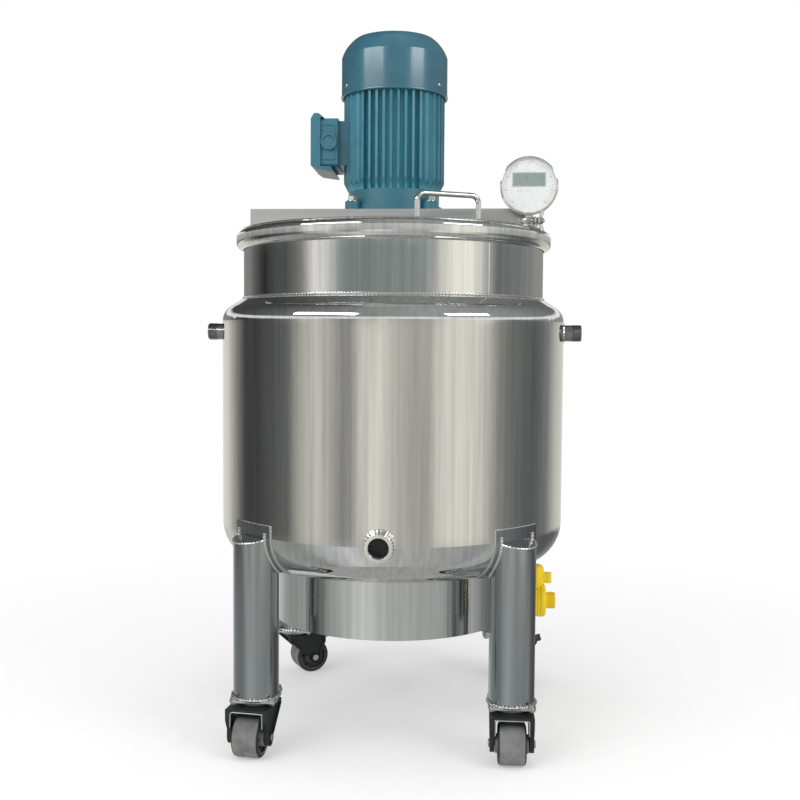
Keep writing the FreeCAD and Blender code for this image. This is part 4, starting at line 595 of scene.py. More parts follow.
class Work:
    """One mesh in the making, which becomes one piece of the scene."""

    tube_sides = 8

    def __init__(self) -> None:
        """Start with an empty mesh."""
        self.mesh = bmesh.new()

    def rings(self, loops: Sequence[Sequence[Vector]], closed: bool) -> "Work":
        """Skin a chain of closed point loops.

        Args:
            loops: the loops, all with as many points.
            closed: whether the last loop joins the first; otherwise the ends are capped.

        Returns:
            This work.
        """
        rows = [[self.mesh.verts.new(point) for point in loop] for loop in loops]
        size = len(rows[0])
        for first, second in pairwise(rows + rows[:1] if closed else rows):
            for index in range(size):
                after = (index + 1) % size
                self.mesh.faces.new((first[index], first[after], second[after], second[index]))
        if not closed:
            self.mesh.faces.new(list(reversed(rows[0])))
            self.mesh.faces.new(rows[-1])
        return self

    def lathe(self, outline: Outline, at: Matrix = Matrix(), steps: int = 24) -> "Work":
        """Turn a closed outline round its own Z axis.

        Args:
            outline: its points, as radius and height.
            at: where the turned form goes.
            steps: how many steps make the turn.

        Returns:
            This work.
        """
        tiny = 1e-6
        return self.rings([[at @ Vector((max(radius, tiny) * math.cos(angle),
                                         max(radius, tiny) * math.sin(angle), height))
                            for radius, height in outline] for angle in turns(steps)], True)

    def tube(self, path: Sequence[Vector], radius: float, closed: bool = False,
             flat: float = 1.0, ripple: float = 0.0, pitch: float = 0.003,
             up: Vector = UP) -> "Work":
        """Run a round or flattened section along a path.

        Args:
            path: the points of its centre line.
            radius: half the section's width.
            closed: whether the path's ends join.
            flat: the section's height as a share of its width, along up.
            ripple: how much the width swells and shrinks, as a share.
            pitch: the length of one ripple.
            up: a direction that isn't along the path.

        Returns:
            This work.
        """
        last = len(path) - 1
        loops, run = [], 0.0
        for index, point in enumerate(path):
            before = path[index - 1] if closed or index else point
            after = path[(index + 1) % len(path)] if closed or index < last else point
            forward = (after - before).normalized()
            side = forward.cross(up).normalized()
            lift = side.cross(forward)
            width = radius * (1 + ripple * math.sin(math.tau * run / pitch))
            loops.append([point + side * width * math.cos(turn) + lift * width * flat * math.sin(turn)
                          for turn in turns(self.tube_sides)])
            run += (after - point).length
        return self.rings(loops, closed)

    def slab(self, outline: Outline, low: float, high: float, at: Matrix = Matrix(),
             chamfer: float = 0.0) -> "Work":
        """Raise an outline from one height to another.

        Args:
            outline: its points, as x and y.
            low: the height of its foot.
            high: the height of its top.
            at: where the slab goes.
            chamfer: how far its top edge is cut back.

        Returns:
            This work.
        """
        middle = Vector((sum(x for x, _ in outline), sum(y for _, y in outline))) / len(outline)
        levels = [(low, 0.0), (high - chamfer, 0.0)] + ([(high, chamfer)] if chamfer else [])
        loops = []
        for level, inset in levels:
            loop = []
            for corner in outline:
                away = Vector(corner) - middle
                share = 1 - inset / max(away.length, 1e-6)
                loop.append(at @ Vector((*(middle + away * share), level)))
            loops.append(loop)
        return self.rings(loops, False)

    def hex_bolt(self, at: Matrix, across: float, height: float, washer: float = 0.0) -> "Work":
        """Add a hexagon head with cut corners and a domed top.

        Args:
            at: where it sits, Z outwards.
            across: its width over two flats.
            height: the head's height.
            washer: the radius of the washer under it, if it has one.

        Returns:
            This work.
        """
        radius = across / math.sqrt(3)
        seat = height * 0.25 if washer else 0.0
        if washer:
            self.lathe([(0, 0), (washer, 0), (washer, seat * 0.7), (washer * 0.95, seat), (0, seat)],
                       at)
        self.slab([(radius * math.cos(turn), radius * math.sin(turn)) for turn in turns(6)],
                  seat, seat + height, at, height * 0.12)
        dome = seat + height
        return self.lathe([(0, dome - height * 0.2), (across * 0.46, dome - height * 0.05),
                           (across * 0.4, dome + height * 0.06), (0, dome + height * 0.1)], at)

    def screw(self, at: Matrix, radius: float, height: float) -> "Work":
        """Add a domed screw head with a sunk hexagon socket.

        Args:
            at: where it sits, Z outwards.
            radius: the head's radius.
            height: the dome's height.

        Returns:
            This work.
        """
        dome = [(radius * math.sin(math.radians(angle)), height * math.cos(math.radians(angle)))
                for angle in (90, 70, 50, 32)]
        socket = radius * 0.42
        return self.lathe([(0, -height * 0.3), (radius, -height * 0.3), *dome,
                           (socket, height * 0.86), (socket * 0.95, height * 0.3),
                           (0, height * 0.3)], at)

    def thread(self, first: Vector, outward: Vector, root: float, crest: float, pitch: float,
               half: float, count: int) -> "Work":
        """Cut the ridges of a thread, from the first one inwards.

        Args:
            first: the middle of the outermost ridge.
            outward: the direction out of the pipe.
            root: the radius at a ridge's foot.
            crest: the radius at its tip.
            pitch: the distance between two ridges.
            half: half a ridge's width.
            count: how many ridges there are.

        Returns:
            This work.
        """
        for index in range(count):
            at = facing(first - outward * index * pitch, outward)
            self.lathe([(root, -half), (crest, 0), (root, half)], at, 48)
        return self

    def place(self, name: str, finish: Finish, body: str) -> None:
        """Turn the mesh into a piece that rides on a body.

        Args:
            name: the piece's name.
            finish: what it is made of.
            body: the body that it moves with.
        """
        bmesh.ops.remove_doubles(self.mesh, verts=self.mesh.verts[:], dist=2e-6)
        bmesh.ops.recalc_face_normals(self.mesh, faces=self.mesh.faces[:])
        data = bpy.data.meshes.new(name)
        self.mesh.to_mesh(data)
        self.mesh.free()
        data.polygons.foreach_set("use_smooth", [True] * len(data.polygons))
        data.set_sharp_from_angle(angle=math.radians(38.0))
        data.materials.append(finish.material())
        piece = add_object(name, data)
        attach(piece, body)
        LOG.info("made %s, %d faces, on %s", name, len(data.polygons), body)


@dataclass
class Vessel:
    """The jacketed pot: its weld seams and the threads of its sockets."""

    neck_radius: float = 0.25
    neck_foot: float = 0.7034
    neck_top: float = 0.7818
    neck_seam: float = 38.7
    jacket_radius: float = 0.285
    jacket_floor: float = 0.272
    jacket_knuckle: float = 0.064
    jacket_seam: float = 150.0
    skirt_radius: float = 0.2
    skirt_foot: float = 0.176
    skirt_seam: float = 165.0
    bead: float = 0.0022
    proud: float = 0.0006
    socket_radius: float = 0.0205
    socket_bore: float = 0.0155
    socket_mouth: float = 0.307
    socket_end: float = 0.28
    socket_level: float = 0.339
    stub_radius: float = 0.01345
    stub_level: float = 0.649
    stub_end: float = 0.315
    pitch: float = 0.0018

    def jacket_at(self, level: float, grow: float = 0.0) -> float:
        """Return the jacket's radius at a height, grown outwards."""
        below = self.jacket_floor + self.jacket_knuckle - level
        if below <= 0:
            return self.jacket_radius + grow
        bend = self.jacket_knuckle + grow
        return self.jacket_radius - self.jacket_knuckle + math.sqrt(max(bend ** 2 - below ** 2, 0))

    def on_jacket(self, reach: float, level: float, count: int) -> list[Vector]:
        """Return a ring of points that lie on the jacket's front, round a pipe at a height."""
        ring = [(reach * math.cos(turn), level + reach * math.sin(turn)) for turn in turns(count)]
        return [Vector((x, -math.sqrt(self.jacket_at(z) ** 2 - x ** 2), z)) for x, z in ring]

    def seams(self) -> None:
        """Lay the ring welds and the upright seams."""
        for name, radius, level in (
                ("neck_weld", self.neck_radius, self.neck_foot + self.proud),
                ("skirt_weld", self.skirt_radius, self.jacket_floor - 0.0004)):
            path = ring_path(radius + self.proud, level, 0.0013)
            Work().tube(path, self.bead, closed=True, ripple=0.07, pitch=0.0052).place(
                name, WELD, TANK)
        for name, angle, radius, low, high in (
                ("neck_seam", self.neck_seam, self.neck_radius, self.neck_foot, self.neck_top),
                ("jacket_seam", self.jacket_seam, self.jacket_radius, 0.367, 0.665),
                ("skirt_seam", self.skirt_seam, self.skirt_radius, self.skirt_foot + 0.002,
                 self.jacket_floor - 0.001)):
            turn = math.radians(angle)
            foot = radial(radius, turn, low)
            path = along([foot, foot + UP * (high - low)], 0.0012)
            Work().tube(path, 0.0016, flat=0.22, ripple=0.06, pitch=0.0048,
                        up=radial(1, turn)).place(name, WELD, TANK)

    def socket_welds(self) -> None:
        """Lay the welds round the front socket and the side stubs."""
        work = Work()
        path = self.on_jacket(self.socket_radius * 1.07, self.socket_level, 150)
        work.tube(path, 0.0026, closed=True, ripple=0.09, pitch=0.0058, up=FRONT)
        path = self.on_jacket(self.stub_radius * 1.06, self.stub_level, 110)
        for side in SIDES:
            work.tube([Vector((-side * point.y, point.x, point.z)) for point in path], 0.0024,
                      closed=True, ripple=0.14, pitch=0.0048, up=ACROSS)
        work.place("socket_welds", WELD, TANK)

    def threads(self) -> None:
        """Cut pipe threads, outside the side stubs and inside the front socket, and close the socket's
        bore with a black disc of painted shade.
        """
        work, half = Work(), self.pitch * 0.48
        for side in SIDES:
            first = Vector((side * (self.stub_end - 0.0012 - self.pitch / 2), 0, self.stub_level))
            work.thread(first, ACROSS * side, self.stub_radius - 0.0003, self.stub_radius + 0.0008,
                        self.pitch, half, 8)
        work.place("stub_threads", STUB_STEEL, TANK)
        bore, level = self.socket_bore, UP * self.socket_level
        Work().thread(FRONT * (self.socket_mouth - 0.0016) + level, FRONT, bore + 0.0002,
                      bore - 0.0006, self.pitch, half, 7).place("socket_threads", ROD_STEEL, TANK)
        # Painted shade: a black disc at the end of the socket's bore stands in for the shade deep
        # inside it.
        Work().lathe([(0, 0), (bore, 0), (bore, 0.0006), (0, 0.0006)],
                     facing(FRONT * self.socket_end + level, FRONT), 48).place(
            "socket_painted_shade_disc", FAN_PLASTIC, TANK)

    def build(self) -> None:
        """Make all of the vessel's pieces."""
        self.seams()
        self.socket_welds()
        self.threads()


@dataclass
class Stand:
    """The four legs: the welds of copes, pads, feet and caps, and the caster plates' bolts."""

    vessel: Vessel
    circle: float = 0.278
    tube_radius: float = 0.035
    pad_sheet: float = 0.003
    pad_half: float = 0.044
    pad_foot: float = 0.277
    pad_top: float = 0.355
    cope_top: float = 0.344
    cap_top: float = 0.342
    cap_slope: float = 0.2126
    cap_reach: float = 112.0
    plate_top: float = 0.087
    plate_foot: float = 0.084
    bolt_offset: float = 0.0295
    step: float = 0.0012

    def leg_axis(self, index: int) -> Vector:
        """Return where a leg's axis meets the floor."""
        side_y, side_x = tuple(product(SIDES, repeat=2))[index]
        return Vector((side_x, side_y, 0)) * self.circle * math.sqrt(0.5)

    def leg_turn(self, index: int) -> Matrix:
        """Return the rotation from +X to a leg's outward direction."""
        axis = self.leg_axis(index)
        return Matrix.Rotation(math.atan2(axis.y, axis.x), 4, "Z")

    def cope_line(self, side: int) -> list[Vector]:
        """Follow the line where a leg meets its pad.

        Args:
            side: -1 or 1, one side of the leg or the other.

        Returns:
            The line's points from its top down, in the leg's own frame, X outwards.
        """
        points, level = [], self.cope_top
        while level >= self.pad_foot + 0.002:
            radius = self.vessel.jacket_at(level, self.pad_sheet)
            x = (radius ** 2 + self.circle ** 2 - self.tube_radius ** 2) / (2 * self.circle)
            points.append(Vector((x, side * math.sqrt(max(radius ** 2 - x ** 2, 0)), level)))
            level = self.cope_top - len(points) * self.step
        return points

    def cap_line(self) -> list[Vector]:
        """Return the upper edge of a leg's sloping cap, X outwards from the leg's axis."""
        points = []
        for step in range(150):
            turn = math.radians(self.cap_reach * (2 * step / 149 - 1))
            x, y = self.tube_radius * math.cos(turn), self.tube_radius * math.sin(turn)
            points.append(Vector((x, y, self.cap_top - self.cap_slope * (x + self.tube_radius))))
        return points

    def pad_line(self) -> list[Vector]:
        """Return the outline of a leg's pad on the jacket, in the leg's own frame."""
        half, foot, top = self.pad_half, self.pad_foot, self.pad_top
        corners = [Vector((0, *corner)) for corner in (
            (-half, top), (half, top), (half, foot), (-half, foot), (-half, top))]
        return [Vector((math.sqrt(self.vessel.jacket_at(z, 0.0006) ** 2 - y ** 2), y, z))
                for _, y, z in along(corners, 0.0014)[:-1]]

    def leg_welds(self, index: int, name: str) -> None:
        """Lay one leg's welds, along its cope, round its foot and round its cap.

        Args:
            index: which leg.
            name: the leg's name.
        """
        axis, turn = self.leg_axis(index), self.leg_turn(index)
        work = Work()
        for side in SIDES:
            path = along([turn @ point for point in self.cope_line(side)], self.step)
            work.tube(path, 0.0026, ripple=0.14, pitch=0.005, up=axis.normalized())
        foot = circle(axis + UP * (self.plate_top + 0.0008), self.tube_radius * 1.03, 190)
        work.tube(foot, 0.0027, closed=True, ripple=0.2, pitch=0.0062)
        work.tube([axis + turn @ point for point in self.cap_line()], 0.0018, ripple=0.12,
                  pitch=0.005)
        work.place("leg_welds_" + name, WELD, TANK)

    def build(self) -> None:
        """Make all of the stand's pieces."""
        beads, bolts = Work(), Work()
        rng = random.Random(7)
        for index, name in enumerate(CASTERS):
            self.leg_welds(index, name)
            axis, turn = self.leg_axis(index), self.leg_turn(index)
            beads.tube([turn @ point for point in self.pad_line()], 0.0011, closed=True,
                       ripple=0.1, pitch=0.0056, up=axis.normalized())
            for side_x, side_y in product(SIDES, repeat=2):
                x, y = axis.x + side_x * self.bolt_offset, axis.y + side_y * self.bolt_offset
                heading = rng.uniform(0, 60)
                bolts.hex_bolt(spot(x, y, self.plate_top, heading), 0.0082, 0.0044, 0.0054)
                under = spot(x, y, self.plate_foot, heading) @ turned(180, "X")
                bolts.hex_bolt(under, 0.0085, 0.0026, 0.0056)
        beads.place("pad_welds", WELD, TANK)
        bolts.place("caster_plate_bolts", FASTENER, TANK)


@dataclass
class Caster:
    """One caster: axle nuts, swivel race, wheel webs, tread lines, and its fork's trim.

    A braked caster has a rubber pad on its pedal, and a free one a plated strap in its fork.
    """

    name: str
    axis: Vector
    yaw: float
    trail: float = 0.028
    wheel_radius: float = 0.0315
    nut_seat: float = 0.033
    race_foot: float = 0.0767
    fork_rear: float = 0.049
    fork_foot: float = 0.05
    arm_gap: float = 0.026
    crown_foot: float = 0.0737
    rib_middle: float = 0.0188
    web_face: float = 0.0168
    painted_shade_shoulder_radius: float = 0.0265
    painted_shade_shoulder_offset: float = 0.016
    pedal_root: float = 0.0465
    pedal_half: float = 0.019
    pedal_top: float = 0.0675

    def frame_at(self, x: float = 0.0, y: float = 0.0, z: float = 0.0) -> Matrix:
        """Return a place in the caster's own frame, X along its heading."""
        return spot(self.axis.x, self.axis.y, 0, self.yaw) @ Matrix.Translation((x, y, z))

    def point(self, x: float, y: float, z: float) -> Vector:
        """Return a point of the caster's own frame."""
        return self.frame_at(x, y, z).translation

    def swivel(self) -> None:
        """Put nuts on the axle bolt, and a dust ring and a rivet on the swivel."""
        work = Work()
        for side in SIDES:
            seat = self.frame_at(self.trail, side * self.nut_seat, self.wheel_radius)
            work.hex_bolt(seat @ turned(-90 * side, "X"), 0.0105, 0.0026)
        work.place("axle_nuts_" + self.name, FASTENER, "swivel_" + self.name)
        Work().lathe([(0, 0), (0.0085, 0), (0.0105, 0.0012), (0.0105, 0.0024), (0, 0.0024)],
                     self.frame_at(0, 0, self.race_foot - 0.0052), 32).place(
            "swivel_rivet_" + self.name, FASTENER, "swivel_" + self.name)
        Work().lathe([(0.0262, 0), (0.0285, 0), (0.0289, 0.0034), (0.0262, 0.005)],
                     self.frame_at(0, 0, self.race_foot + 0.0007), 56).place(
            "race_shield_" + self.name, ZINC, TANK)

    def wheel(self) -> None:
        """Give the wheel ribbed webs, black sides whose black runs over the tread's rounded shoulders
        as painted shade, and the lines of its tread.
        """
        centre = self.frame_at(self.trail, 0, self.wheel_radius)
        side_on = centre @ turned(90, "X")
        work = Work()
        rib = [(-0.0053, -0.0014), (0.0053, -0.0018), (0.0053, 0.0018), (-0.0053, 0.0014)]
        for side, turn in product(SIDES, range(0, 360, 60)):
            seat = Matrix.Translation((self.rib_middle, side * self.web_face, 0))
            work.slab(rib, 0.0, 0.0034, centre @ turned(turn, "Y") @ seat @ turned(-90 * side, "X"),
                      0.0006)
        # The black body is the wheel's own; carried over the tread's rounded shoulders, it is painted
        # shade on the sides of the grey tread.
        outer, inner = [[(self.painted_shade_shoulder_radius + bend * math.sin(turn),
                          self.painted_shade_shoulder_offset + bend * math.cos(turn))
                         for turn in (0.0, 0.35, 0.7, 0.95)] for bend in (0.0053, 0.0047)]
        shell = [(0.0142, self.web_face), (0.0241, self.web_face), (0.0242, 0.0208), *outer,
                 *reversed(inner), (0.0236, 0.0202), (0.0234, 0.0174), (0.0142, 0.0174)]
        for side in SIDES:
            work.lathe([(radius, side * offset) for radius, offset in shell], side_on, 64)
        work.place("wheel_webs_" + self.name, WHEEL_WEB, "roller_" + self.name)
        work = Work()
        for offset in (-0.009, 0.0, 0.009):
            work.lathe([(0.0312, offset - 0.0007), (0.03146, offset), (0.0312, offset + 0.0007)],
                       side_on, 96)
        work.place("tread_lines_" + self.name, TREAD, "roller_" + self.name)

    def strap(self) -> None:
        """Line the open end of the fork with a narrow plated strap."""
        half, top, corner = self.arm_gap - 0.0007, self.crown_foot - 0.0008, 0.003
        shoulder = self.crown_foot - corner
        line = [(-half, self.fork_foot), (-half, shoulder), (corner - half, top),
                (half - corner, top), (half, shoulder), (half, self.fork_foot)]
        path = along([self.point(self.fork_rear - 0.0006, y, z) for y, z in line], 0.004)
        Work().tube(path, 0.0011, up=self.frame_at().to_3x3() @ ACROSS).place(
            "fork_strap_" + self.name, ZINC, "swivel_" + self.name)

    def pedal(self) -> None:
        """Cover the brake pedal with a rubber pad that has grip bars."""
        work, half = Work(), self.pedal_half + 0.0006
        low, top = self.pedal_top + 0.0002, self.pedal_top + 0.0022
        slope = ((0.0, 0.0), (0.0095, 0.0), (0.0142, 0.0018), (0.0178, 0.0058), (0.027, 0.0086))
        work.rings([[self.point(self.pedal_root + x, y, level + rise) for y, level in (
            (-half, low), (half, low), (half, top), (-half, top))] for x, rise in slope], False)
        for offset in (0.0492, 0.053):
            ends = [self.point(offset, side * self.pedal_half * 0.8, top) for side in SIDES]
            work.tube(along(ends, 0.004), 0.0009, flat=0.7)
        work.place("pedal_pad_" + self.name, BLACK_FORK, "pedal_" + self.name)

    def build(self) -> None:
        """Make all of the caster's pieces."""
        self.swivel()
        self.wheel()
        if self.name in BRAKED:
            self.pedal()
        else:
            self.strap()


@dataclass
class Covers:
    """The flip lid and the fixed cover: rolled edges, handle welds and hinge screws."""

    edge_radius: float = 0.2522
    edge_level: float = 0.8138
    edge_bead: float = 0.0017
    hinge_line: float = -0.099
    hinge_reach: float = 0.095
    hinge_shift: float = -0.02
    leaf_top: float = 0.8173
    lid_side: float = 0.149
    lid_gap: float = 0.005
    cover_top: float = 0.8153
    handle_half: float = 0.05
    handle_offset: float = 0.222
    handle_heading: float = 25.0

    def edges(self) -> None:
        """Roll the outer edges of both covers."""
        left = -math.acos(-self.hinge_line / self.edge_radius)
        right = math.asin(self.lid_side / self.edge_radius)
        gap = self.lid_gap / self.edge_radius
        for name, body, start, end in (("lid_edge", LID, left, right),
                                       ("cover_edge", TANK, right + gap, math.tau + left - gap)):
            path = ring_path(self.edge_radius, self.edge_level, 0.004, start, end - start)
            Work().tube(path, self.edge_bead).place(name, ROD_STEEL, body)

    def handle_feet(self) -> None:
        """Weld the handle's feet to the lid."""
        heading = math.radians(self.handle_heading)
        middle = radial(self.handle_offset, heading, self.cover_top + 0.0004)
        across = Vector((math.cos(heading), math.sin(heading), 0))
        work = Work()
        for side in SIDES:
            path = circle(middle + across * side * self.handle_half, 0.0046, 48)
            work.tube(path, 0.0016, closed=True, ripple=0.15, pitch=0.003)
        work.place("handle_welds", WELD, LID)

    def hinge_screws(self) -> None:
        """Put domed screws in the hinge leaves."""
        lid_work, cover_work = Work(), Work()
        for side, shift in product(SIDES, (-0.005, 0.005)):
            x = side * self.hinge_reach + self.hinge_shift + shift
            lid_work.screw(spot(x, self.hinge_line - 0.015, self.leaf_top), 0.0028, 0.0016)
            for outer in (-0.02, 0.02):
                cover_work.screw(spot(x + outer, self.hinge_line + 0.0095, self.leaf_top),
                                 0.0025, 0.0014)
        lid_work.place("lid_hinge_screws", FASTENER, LID)
        cover_work.place("cover_hinge_screws", FASTENER, TANK)

    def build(self) -> None:
        """Make all of the covers' pieces."""
        self.edges()
        self.handle_feet()
        self.hinge_screws()


@dataclass
class Motor:
    """The fan-cooled motor: foot bolts, cowl screws, cowl hem and terminal box trim."""

    lug_top: float = 0.8603
    lug_circle: float = 0.09
    hem_foot: float = 1.0363
    cowl_radius: float = 0.088
    cowl_screw_level: float = 1.051
    box_face: float = 0.134
    box_middle: float = 0.104
    box_level: float = 0.9593
    box_half_width: float = 0.048
    box_screw_y: float = 0.036
    box_screw_z: float = 0.028

    def bolts(self) -> None:
        """Bolt the motor to the beam through its corner lugs."""
        work, reach = Work(), self.lug_circle * math.sqrt(0.5)
        for side_x, side_y in product(SIDES, repeat=2):
            seat = spot(side_x * reach, side_y * reach, self.lug_top, 12 * side_x)
            work.hex_bolt(seat, 0.013, 0.0075, 0.0088)
        work.place("motor_foot_bolts", FASTENER, TANK)

    def cowl(self) -> None:
        """Give the fan cover its screws and its rolled hem."""
        work = Work()
        for turn in map(math.radians, (60, 120, 240, 300)):
            seat = radial(self.cowl_radius - 0.0004, turn, self.cowl_screw_level)
            work.screw(facing(seat, radial(1, turn)), 0.0042, 0.0026)
        work.place("cowl_screws", FASTENER, TANK)
        hem = [(0.0875, 0), (0.0888, 0.0006), (0.0891, 0.0022), (0.0886, 0.004), (0.0875, 0.0046)]
        Work().lathe(hem, spot(0, 0, self.hem_foot), 96).place("cowl_hem", COWL_PAINT, TANK)

    def box_trim(self) -> None:
        """Give the terminal box its lid screws and the raised panels of its sides."""
        work = Work()
        for side, level in product(SIDES, repeat=2):
            seat = Vector((0.0004 - self.box_face, side * self.box_screw_y,
                           self.box_level + level * self.box_screw_z))
            work.screw(facing(seat, -ACROSS), 0.0042, 0.0022)
        work.place("box_lid_screws", FASTENER, TANK)
        work = Work()
        panel = [(-0.0115, -0.028), (0.0095, -0.028), (0.0095, 0.028), (-0.0115, 0.028)]
        for side in SIDES:
            path = along([Vector((x - self.box_middle, side * (self.box_half_width + 0.0002),
                                  z + self.box_level)) for x, z in panel + panel[:1]], 0.004)
            work.tube(path[:-1], 0.0012, closed=True, up=-FRONT)
        work.place("box_panels", MOTOR_PAINT, TANK)

    def build(self) -> None:
        """Make all of the motor's pieces."""
        self.bolts()
        self.cowl()
        self.box_trim()


@dataclass
class Gauge:
    """The dial gauge: its markings, display, lens, clamp and clamp bolt."""

    x: float = 0.2188
    y: float = -0.0997
    level: float = 0.8783
    dial_radius: float = 0.0415
    face_y: float = -0.1122
    ticks: int = 40
    ticks_per_mark: int = 5
    display_level: float = 0.0095
    clamp_radius: float = 0.014
    clamp_level: float = 0.8238
    clamp_half: float = 0.0044
    clamp_heading: float = -62.0
    bolt_reach: float = 0.0075

    def on_dial(self, x: float, z: float) -> Matrix:
        """Return a place on the dial's face, its own X to the right and Y up."""
        return Matrix.Translation((self.x + x, self.face_y, self.level + z)) @ turned(90, "X")

    def markings(self) -> None:
        """Print the scale's ticks round the dial, and three dots under the display."""
        work = Work()
        for index in range(self.ticks + 1):
            angle = math.radians(225 - 270 * index / self.ticks)
            long, half = (0.0024, 0.00022) if index % self.ticks_per_mark else (0.0042, 0.00035)
            middle = self.dial_radius - 0.0035 - long / 2
            at = self.on_dial(middle * math.cos(angle), middle * math.sin(angle))
            work.slab(rectangle(long / 2, half), 0.0, 0.00025, at @ Matrix.Rotation(angle, 4, "Z"))
        for x in (-0.017, -0.012, -0.002):
            work.lathe([(0, 0), (0.0007, 0), (0.0007, 0.0003), (0, 0.0003)],
                       self.on_dial(x, -0.0085), 12)
        work.place("dial_ticks", DIAL_INK, TANK)

    def front(self) -> None:
        """Set the display in its frame, and the clear lens in the bezel."""
        at = self.on_dial(0, self.display_level)
        Work().slab(rectangle(0.0262, 0.0112), 0.0, 0.0009, at, 0.0006).place(
            "display_frame", LCD_FRAME, TANK)
        Work().slab(rectangle(0.0245, 0.0096), 0.0009, 0.0012, at, 0.0002).place(
            "display_window", LCD, TANK)
        edge = self.dial_radius - 0.0002
        lens = [(0, 0.0016), (edge, 0.0016), (edge, 0.0024), (edge * 0.6, 0.0028), (0, 0.003)]
        Work().lathe(lens, self.on_dial(0, 0), 64).place("gauge_lens", GLASS, TANK)

    def clamp(self) -> None:
        """Close the clamp round the ferrule with a pair of ears."""
        work, grip, half = Work(), self.clamp_radius, self.clamp_half
        work.lathe([(grip - 0.0004, -half), (grip + 0.0015, -0.0032), (grip + 0.0019, 0),
                    (grip + 0.0015, 0.0032), (grip - 0.0004, half)],
                   spot(self.x, self.y, self.clamp_level), 56)
        ear = [(grip - 0.002, 0.0015), (grip + 0.0135, 0.0015), (grip + 0.0145, 0.003),
               (grip + 0.0135, 0.0052), (grip - 0.002, 0.0068)]
        at = spot(self.x, self.y, self.clamp_level, self.clamp_heading)
        for side in SIDES:
            # A step of -1 reverses the mirrored ear, so that both run the same way round.
            work.slab([(x, side * y) for x, y in ear[::side]], -half, half, at, 0.0008)
        work.place("clamp_ring", ROD_STEEL, TANK)

    def clamp_bolt(self) -> None:
        """Put a bolt through the clamp's ears, with a wing nut on it."""
        at = spot(self.x, self.y, self.clamp_level, self.clamp_heading) @ Matrix.Translation(
            (self.clamp_radius + self.bolt_reach, 0, 0)) @ turned(-90, "X")
        nut = Work()
        nut.lathe([(0, -0.011), (0.0024, -0.011), (0.0024, 0.016), (0, 0.0165)], at, 20)
        nut.hex_bolt(at @ spot(0, 0, -0.0105) @ turned(180, "X"), 0.0075, 0.004)
        nut.lathe([(0.0022, 0.0066), (0.0058, 0.0066), (0.005, 0.0125), (0.0022, 0.013)], at)
        wing = [(0.004, -0.002), (0.0155, -0.0012), (0.017, 0.0026), (0.0145, 0.0058), (0.004, 0.003)]
        for heading in (270, 90):
            nut.slab(wing, -0.0011, 0.0011, at @ spot(0, 0, 0.0095, heading) @ turned(90, "X"), 0.0004)
        nut.place("clamp_wing_nut", FASTENER, TANK)

    def build(self) -> None:
        """Make all of the gauge's pieces."""
        self.markings()
        self.front()
        self.clamp()
        self.clamp_bolt()


@dataclass
class Valve:
    """The plastic valve: the thread on its spout."""

    level: float = 0.196
    spout_end: float = 0.278
    spout_radius: float = 0.0135

    def build(self) -> None:
        """Cut the spout's thread."""
        first = Vector((self.spout_end - 0.003, 0, self.level))
        Work().thread(first, ACROSS, self.spout_radius - 0.0004, self.spout_radius + 0.0008,
                      0.0022, 0.001, 5).place("spout_thread", YELLOW, TANK)


def grey(level: float, warmth: float = 0.0) -> Colour:
    """Return a near-neutral tone, a straw grey above 0 and a teal grey below."""
    if warmth < 0:
        return (level * (1 + 2.0 * warmth), level, level * (1 + 0.3 * warmth))
    return (level * (1 + 0.1 * warmth), level, level * (1 - 1.7 * warmth))


class Tone(Enum):
    """The reflector wall's tones at one angle, from the lowest up."""

    DEEP, LOW, HIGH, PALE, TOP = range(5)


@dataclass(frozen=True)
class Band:
    """One stop of the studio's reflected tones, each a grey and its warmth.

    Attributes:
        angle: degrees from the camera's side, counted to its right.
        deep: the tone that the legs and the housing mirror, from under the floor's level.
        low: the tone that the jacket mirrors.
        high: the tone that the neck and the rim mirror.
        warm_low: the jacket tone's warmth.
        warm_high: the neck tone's warmth.
    """

    angle: float
    deep: float
    low: float
    high: float
    warm_low: float = 0.05
    warm_high: float = 0.0

    def tones(self) -> tuple[Colour, Colour, Colour]:
        """Return the three tones as colours."""
        return (grey(self.deep, -0.02), grey(self.low, self.warm_low), grey(self.high, self.warm_high))


@dataclass(frozen=True)
class Lamp:
    """One soft lamp that faces the tank.

    Attributes:
        name: the lamp's name.
        azimuth: degrees from the camera's side, counted to its right.
        elevation: degrees above the level of the tank's middle.
        width: its width.
        height: its height.
        power: its power in watts.
        glossy: whether glossy surfaces mirror it.
    """

    name: str
    azimuth: float
    elevation: float
    width: float
    height: float
    power: float
    glossy: bool = True


